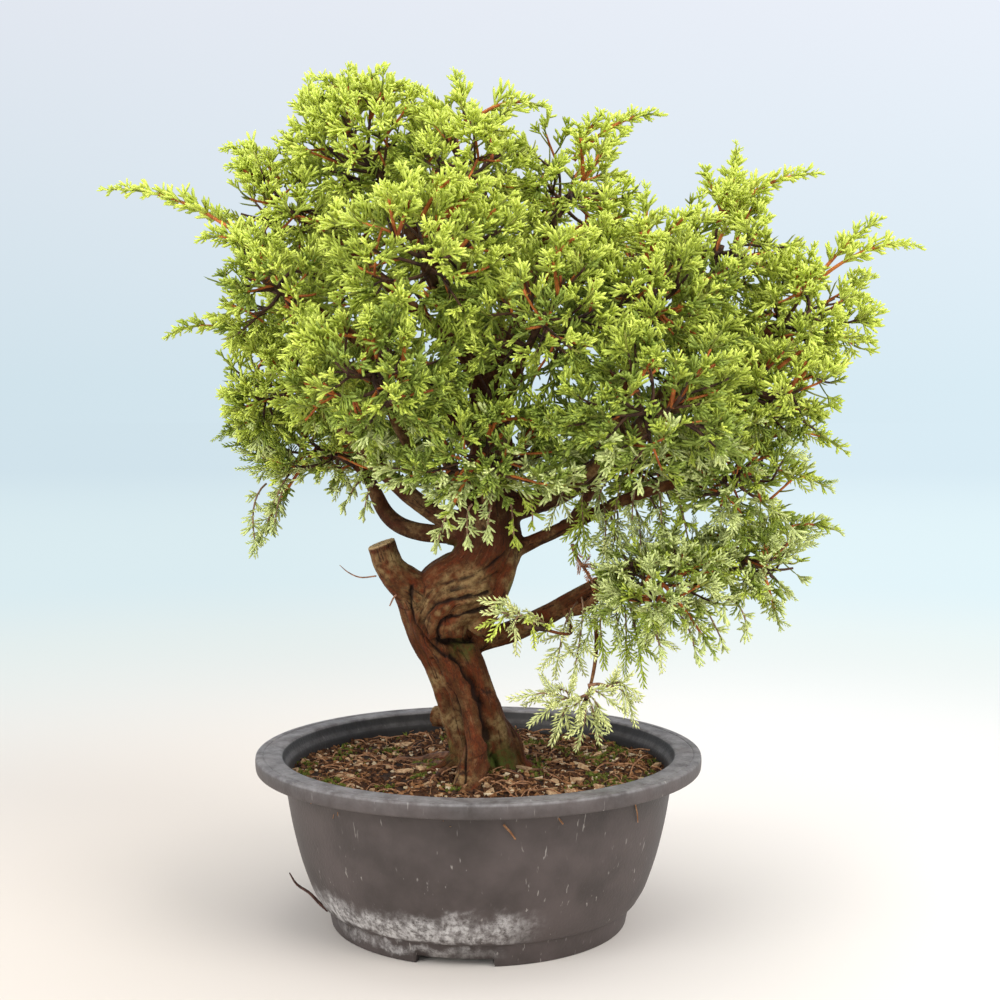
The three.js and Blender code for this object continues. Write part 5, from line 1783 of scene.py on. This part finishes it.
class BONSAI_OT_pot(bpy.types.Operator):
    """Make the round plastic pot, with its rim, foot and drain notches"""

    bl_idname = "bonsai.pot"
    bl_label = "Pot"

    def execute(self, context):
        settings = context.scene.bonsai_pot
        form = pot_form(settings.rim_radius / MM, settings.height / MM, settings.sides)
        pot = form.piece("training_pot", [plastic(settings)])
        kept(pot, "pot", "pot")
        return {"FINISHED"}


class BONSAI_OT_soil(bpy.types.Operator):
    """Fill the pot with soil, and strew chips of bark, dead rootlets and moss over it"""

    bl_idname = "bonsai.soil"
    bl_label = "Soil"

    def execute(self, context):
        settings = context.scene.bonsai_soil
        soil = soil_form().piece("soil_bed", [earth("peat", (24, 14, 8), (84, 54, 31))])
        kept(soil, "soil", "soil")
        places = corners_of(soil.data)
        from_foot = np.hypot(places[:, 0] - FOOT[0], places[:, 1])
        flat = places[:, 2] > SOIL_TOP / MM - 4
        damp = 0.8 * np.exp(-((from_foot - 16) / 14) ** 2) - 0.2
        mossy = lattice_noise(places / (13, 13, 40), 8) * 1.6 + damp
        with_values(soil.data, "everywhere", flat.astype(float))
        with_values(soil.data, "mossy", np.clip(mossy, 0, 1) * flat)
        rng = np.random.default_rng(settings.seed)
        tree = scatter_tree()
        for number, (name, litter) in enumerate(LITTER.items()):
            kind, share, sizes, tilt, count, dark, pale = litter
            forms = [LITTER_FORMS[kind](rng) for _ in range(count)]
            chips = [form.piece(f"{name}_{n}", smooth=False, in_frame=False) for n, form in enumerate(forms)]
            pieces = set_of(name, chips)
            bed = shown(bpy.data.objects.new(name, soil.data.copy()))
            values = {
                "Pieces": pieces,
                "Per square metre": getattr(settings, kind) * share,
                "Smallest": sizes[0],
                "Largest": sizes[1],
                "Tilt": tilt,
                "Where": "mossy" if kind == "moss" else "everywhere",
                "Seed": settings.seed + number,
                "Finish": earth(name.replace("_", " "), dark, pale, 700),
            }
            grow_with(bed, tree, values)
            kept(bed, "soil")
            clear_set(pieces)
        return {"FINISHED"}


class BONSAI_OT_bark(bpy.types.Operator):
    """Make the trunk with its roots, stub and folds, and the boughs, all with their bark's relief"""

    bl_idname = "bonsai.bark"
    bl_label = "Trunk and boughs"

    def execute(self, context):
        settings = context.scene.bonsai_bark
        lines, _ = grown_tree()
        finish = bark(settings)
        trunk = make_trunk_mesh(lines, settings, finish)
        kept(trunk, "bark", "trunk")
        boughs = make_bough_mesh(lines, settings, finish)
        kept(boughs, "bark", *[f"bough_{name}" for name in LIMBS])
        return {"FINISHED"}


class BONSAI_OT_twigs(bpy.types.Operator):
    """Make the twigs and shoots that carry the foliage"""

    bl_idname = "bonsai.twigs"
    bl_label = "Twigs"

    def execute(self, context):
        _, grown = grown_tree()
        form = Form()
        for places, radii, finish, sides in grown.wood:
            form.tube(places, radii, sides, finish, pointed=finish == GREEN_WOOD)
        finishes = [wood_finish(*wood) for wood in WOODS]
        twigs = form.piece("twigs", finishes)
        kept(twigs, "bark")
        return {"FINISHED"}


class BONSAI_OT_foliage(bpy.types.Operator):
    """Put the sprays of foliage on the twigs, and join them piece by piece"""

    bl_idname = "bonsai.foliage"
    bl_label = "Foliage"

    def execute(self, context):
        settings = context.scene.bonsai_foliage
        _, grown = grown_tree()
        radius = settings.cord_radius / MM
        fans = [fan_spray(n, radius, settings.cord_sides) for n in range(FAN_KINDS)]
        feathers = [feather_spray(n) for n in range(FEATHER_KINDS)]
        forms = [form.piece(f"spray_{n}", in_frame=False) for n, form in enumerate(fans + feathers)]
        sprays = set_of("sprays", forms)
        values = {"Sprays": sprays, "Spray size": settings.spray_size}
        for tint in TINTS:
            colour = np.array(getattr(settings, tint))
            brighter = np.clip(colour * (1.1, 1.08, 1.0, 1), 0, 1)
            tip = np.clip(colour * (1.32, 1.28, 1.3, 1), 0, 1)
            duller = tip * (0.92, 0.95, 0.9, 1)
            values[f"{tint} cords"] = foliage_finish(f"{tint} cords", tuple(colour), tuple(brighter))
            values[f"{tint} tips"] = foliage_finish(f"{tint} tips", tuple(duller), tuple(tip))
        tree = spray_tree(TINTS)
        for name, members in FOLIAGE_PIECES.items():
            rows = [row for mass in members for row in grown.sprays[mass]]
            piece = grow_with(spray_points(name, rows), tree, values)
            kept(piece, "foliage", *[f"foliage_{mass}" for mass in members])
        clear_set(sprays)
        return {"FINISHED"}


class BONSAI_OT_details(bpy.types.Operator):
    """Add the bare twigs and the rootlet that leans on the pot"""

    bl_idname = "bonsai.details"
    bl_label = "Bare twigs"

    def execute(self, context):
        form = Form()
        for stations in BARE_TWIGS:
            line = smooth_line(stations, TWIG_STATIONS)
            form.tube(line.places, line.radii, 6)
        line = smooth_line(ROOTLET, TWIG_STATIONS)
        form.tube(line.places, line.radii, 6, 1)
        twig = wood_finish("dead twig bark", (186, 136, 106), (118, 80, 62), 400)
        rootlet = wood_finish("dead rootlet bark", (96, 66, 56), (58, 38, 34), 400)
        kept(form.piece("bare_twigs", [twig, rootlet]), "bark")
        roots = Form()
        for number, (start, end, radius) in enumerate(SURFACE_ROOTS):
            surface_root(roots, number, np.array(start, float), np.array(end, float), radius)
        finish = wood_finish("surface root bark", (122, 82, 56), (58, 36, 24), 300)
        kept(roots.piece("surface_roots", [finish]), "bark")
        return {"FINISHED"}


class BONSAI_OT_stage(bpy.types.Operator):
    """Set up the camera, the pale floor and the soft studio light"""

    bl_idname = "bonsai.stage"
    bl_label = "Stage"

    def execute(self, context):
        settings = context.scene.bonsai_stage
        scene = context.scene
        camera = bpy.data.cameras.new("camera")
        camera.lens = settings.lens
        camera.sensor_width = 36
        camera.clip_end = 100
        holder = shown(bpy.data.objects.new("camera", camera))
        holder.location = (AXIS[0] + settings.aside, AXIS[1] - settings.distance, settings.height)
        holder.rotation_euler = (math.pi / 2 - settings.tilt, 0, 0)
        scene.camera = holder
        make_floor(settings)
        make_sky(scene, settings.surround)
        for name, (place, size, power, colour) in LAMPS.items():
            make_light(name, place, size, power, colour)
        scene.view_settings.view_transform = "Standard"
        scene.view_settings.look = "None"
        return {"FINISHED"}


def make_floor(settings):
    """A wide floor that fades, far behind the pot, into a painted glow in the colour of the surround,
    brighter to the right.
    """
    reach, sides = 40.0, 96
    mesh = bpy.data.meshes.new("floor")
    turns = np.arange(sides) * 2 * math.pi / sides
    corners = [(reach * math.cos(t), reach * math.sin(t), 0.0) for t in turns]
    mesh.from_pydata(corners, [], [tuple(range(sides))])
    finish = Finish("floor", roughness=0.9, specular=0.1)
    away = node(finish.tree, "ShaderNodeVectorMath", {0: finish.places}, operation="LENGTH").outputs["Value"]
    # Painted light: the floor is paler on its right, towards the key lamp.
    rightward = finish.level(finish.axis(0), -0.25, 0.3)
    finish.colour = finish.mix(rightward, settings.floor, settings.floor_lit_on_right)
    finish.over(finish.level(away, 0.2, 1.2), settings.far_floor)
    mesh.materials.append(finish.done())
    # Painted light: far behind the pot the floor glows in these colours instead of being lit.
    aside = finish.maths("DIVIDE", finish.axis(0), away)
    strength = finish.level(aside, *BRIGHTER_TO_THE_RIGHT)
    glow_colour = finish.mix(finish.level(away, 0.45, 1.5), settings.near_glow_colour, settings.glow_colour)
    glow_colour = finish.mix(finish.level(away, 1.5, 6.0), glow_colour, settings.surround)
    glow = node(finish.tree, "ShaderNodeEmission", {"Color": glow_colour, "Strength": strength})
    share = finish.level(away, 0.36, 1.0)
    parts = {0: share, 1: finish.shader.outputs[0], 2: glow.outputs[0]}
    both = node(finish.tree, "ShaderNodeMixShader", parts)
    finish.tree.links.new(both.outputs[0], finish.tree.nodes["Material Output"].inputs["Surface"])
    shown(bpy.data.objects.new("floor", mesh))


def make_sky(scene, surround):
    """An even pale surround, a little bluer low down, that lights everything softly."""
    world = bpy.data.worlds.new("studio")
    world.use_nodes = True
    tree = world.node_tree
    ways = node(tree, "ShaderNodeTexCoord").outputs["Generated"]
    height = node(tree, "ShaderNodeSeparateXYZ", {0: ways}).outputs[2]
    share = node(tree, "ShaderNodeMapRange", {0: height, 1: 0.02, 2: 0.28}).outputs[0]
    colours = {0: share, 6: tuple(surround), 7: colour_of(230, 234, 243)}
    mixed = node(tree, "ShaderNodeMix", colours, data_type="RGBA")
    aside = node(tree, "ShaderNodeSeparateXYZ", {0: ways}).outputs[0]
    inputs = dict(enumerate((aside, *BRIGHTER_TO_THE_RIGHT)))
    bright = node(tree, "ShaderNodeMapRange", inputs).outputs[0]
    even = node(tree, "ShaderNodeVectorMath", {0: mixed.outputs[2], "Scale": bright}, operation="SCALE")
    tree.links.new(even.outputs[0], tree.nodes["Background"].inputs["Color"])
    tree.nodes["Background"].inputs["Strength"].default_value = 1.0
    scene.world = world


def make_light(name, place, size, power, colour):
    """A round soft lamp, aimed at the middle of the tree's height."""
    lamp = bpy.data.lights.new(name, "AREA")
    lamp.shape = "DISK"
    lamp.size = size
    lamp.energy = power
    lamp.color = colour
    holder = shown(bpy.data.objects.new(name, lamp))
    holder.location = place
    aim = np.array([0, 0, 0.2]) - np.array(place)
    flat = math.hypot(aim[0], aim[1])
    holder.rotation_euler = (math.atan2(flat, -aim[2]), 0, math.atan2(aim[1], aim[0]) - math.pi / 2)


class BONSAI_PT_panel(bpy.types.Panel):
    """The bonsai's pieces and their settings"""

    bl_idname = "BONSAI_PT_panel"
    bl_label = "Juniper bonsai"
    bl_space_type = "VIEW_3D"
    bl_region_type = "UI"
    bl_category = "Bonsai"

    def draw(self, context):
        for operator in OPERATORS:
            self.layout.operator(operator.bl_idname)
        for name, group in SETTINGS.items():
            box = self.layout.box()
            box.label(text=group.__name__)
            for label in group.__annotations__:
                box.prop(getattr(context.scene, name), label)


OPERATORS = [
    BONSAI_OT_pot,
    BONSAI_OT_soil,
    BONSAI_OT_bark,
    BONSAI_OT_twigs,
    BONSAI_OT_details,
    BONSAI_OT_foliage,
    BONSAI_OT_stage,
]
CLASSES = [*SETTINGS.values(), *OPERATORS, BONSAI_PT_panel]


def register():
    for made in CLASSES:
        bpy.utils.register_class(made)
    for name, group in SETTINGS.items():
        setattr(bpy.types.Scene, name, bpy.props.PointerProperty(type=group))


def unregister():
    for name in SETTINGS:
        delattr(bpy.types.Scene, name)
    for made in reversed(CLASSES):
        bpy.utils.unregister_class(made)


def main():
    """Makes every piece and the stage."""
    register()
    bpy.ops.bonsai.pot()
    bpy.ops.bonsai.soil()
    bpy.ops.bonsai.bark()
    bpy.ops.bonsai.twigs()
    bpy.ops.bonsai.details()
    bpy.ops.bonsai.foliage()
    bpy.ops.bonsai.stage()


if __name__ == "__main__":
    main()
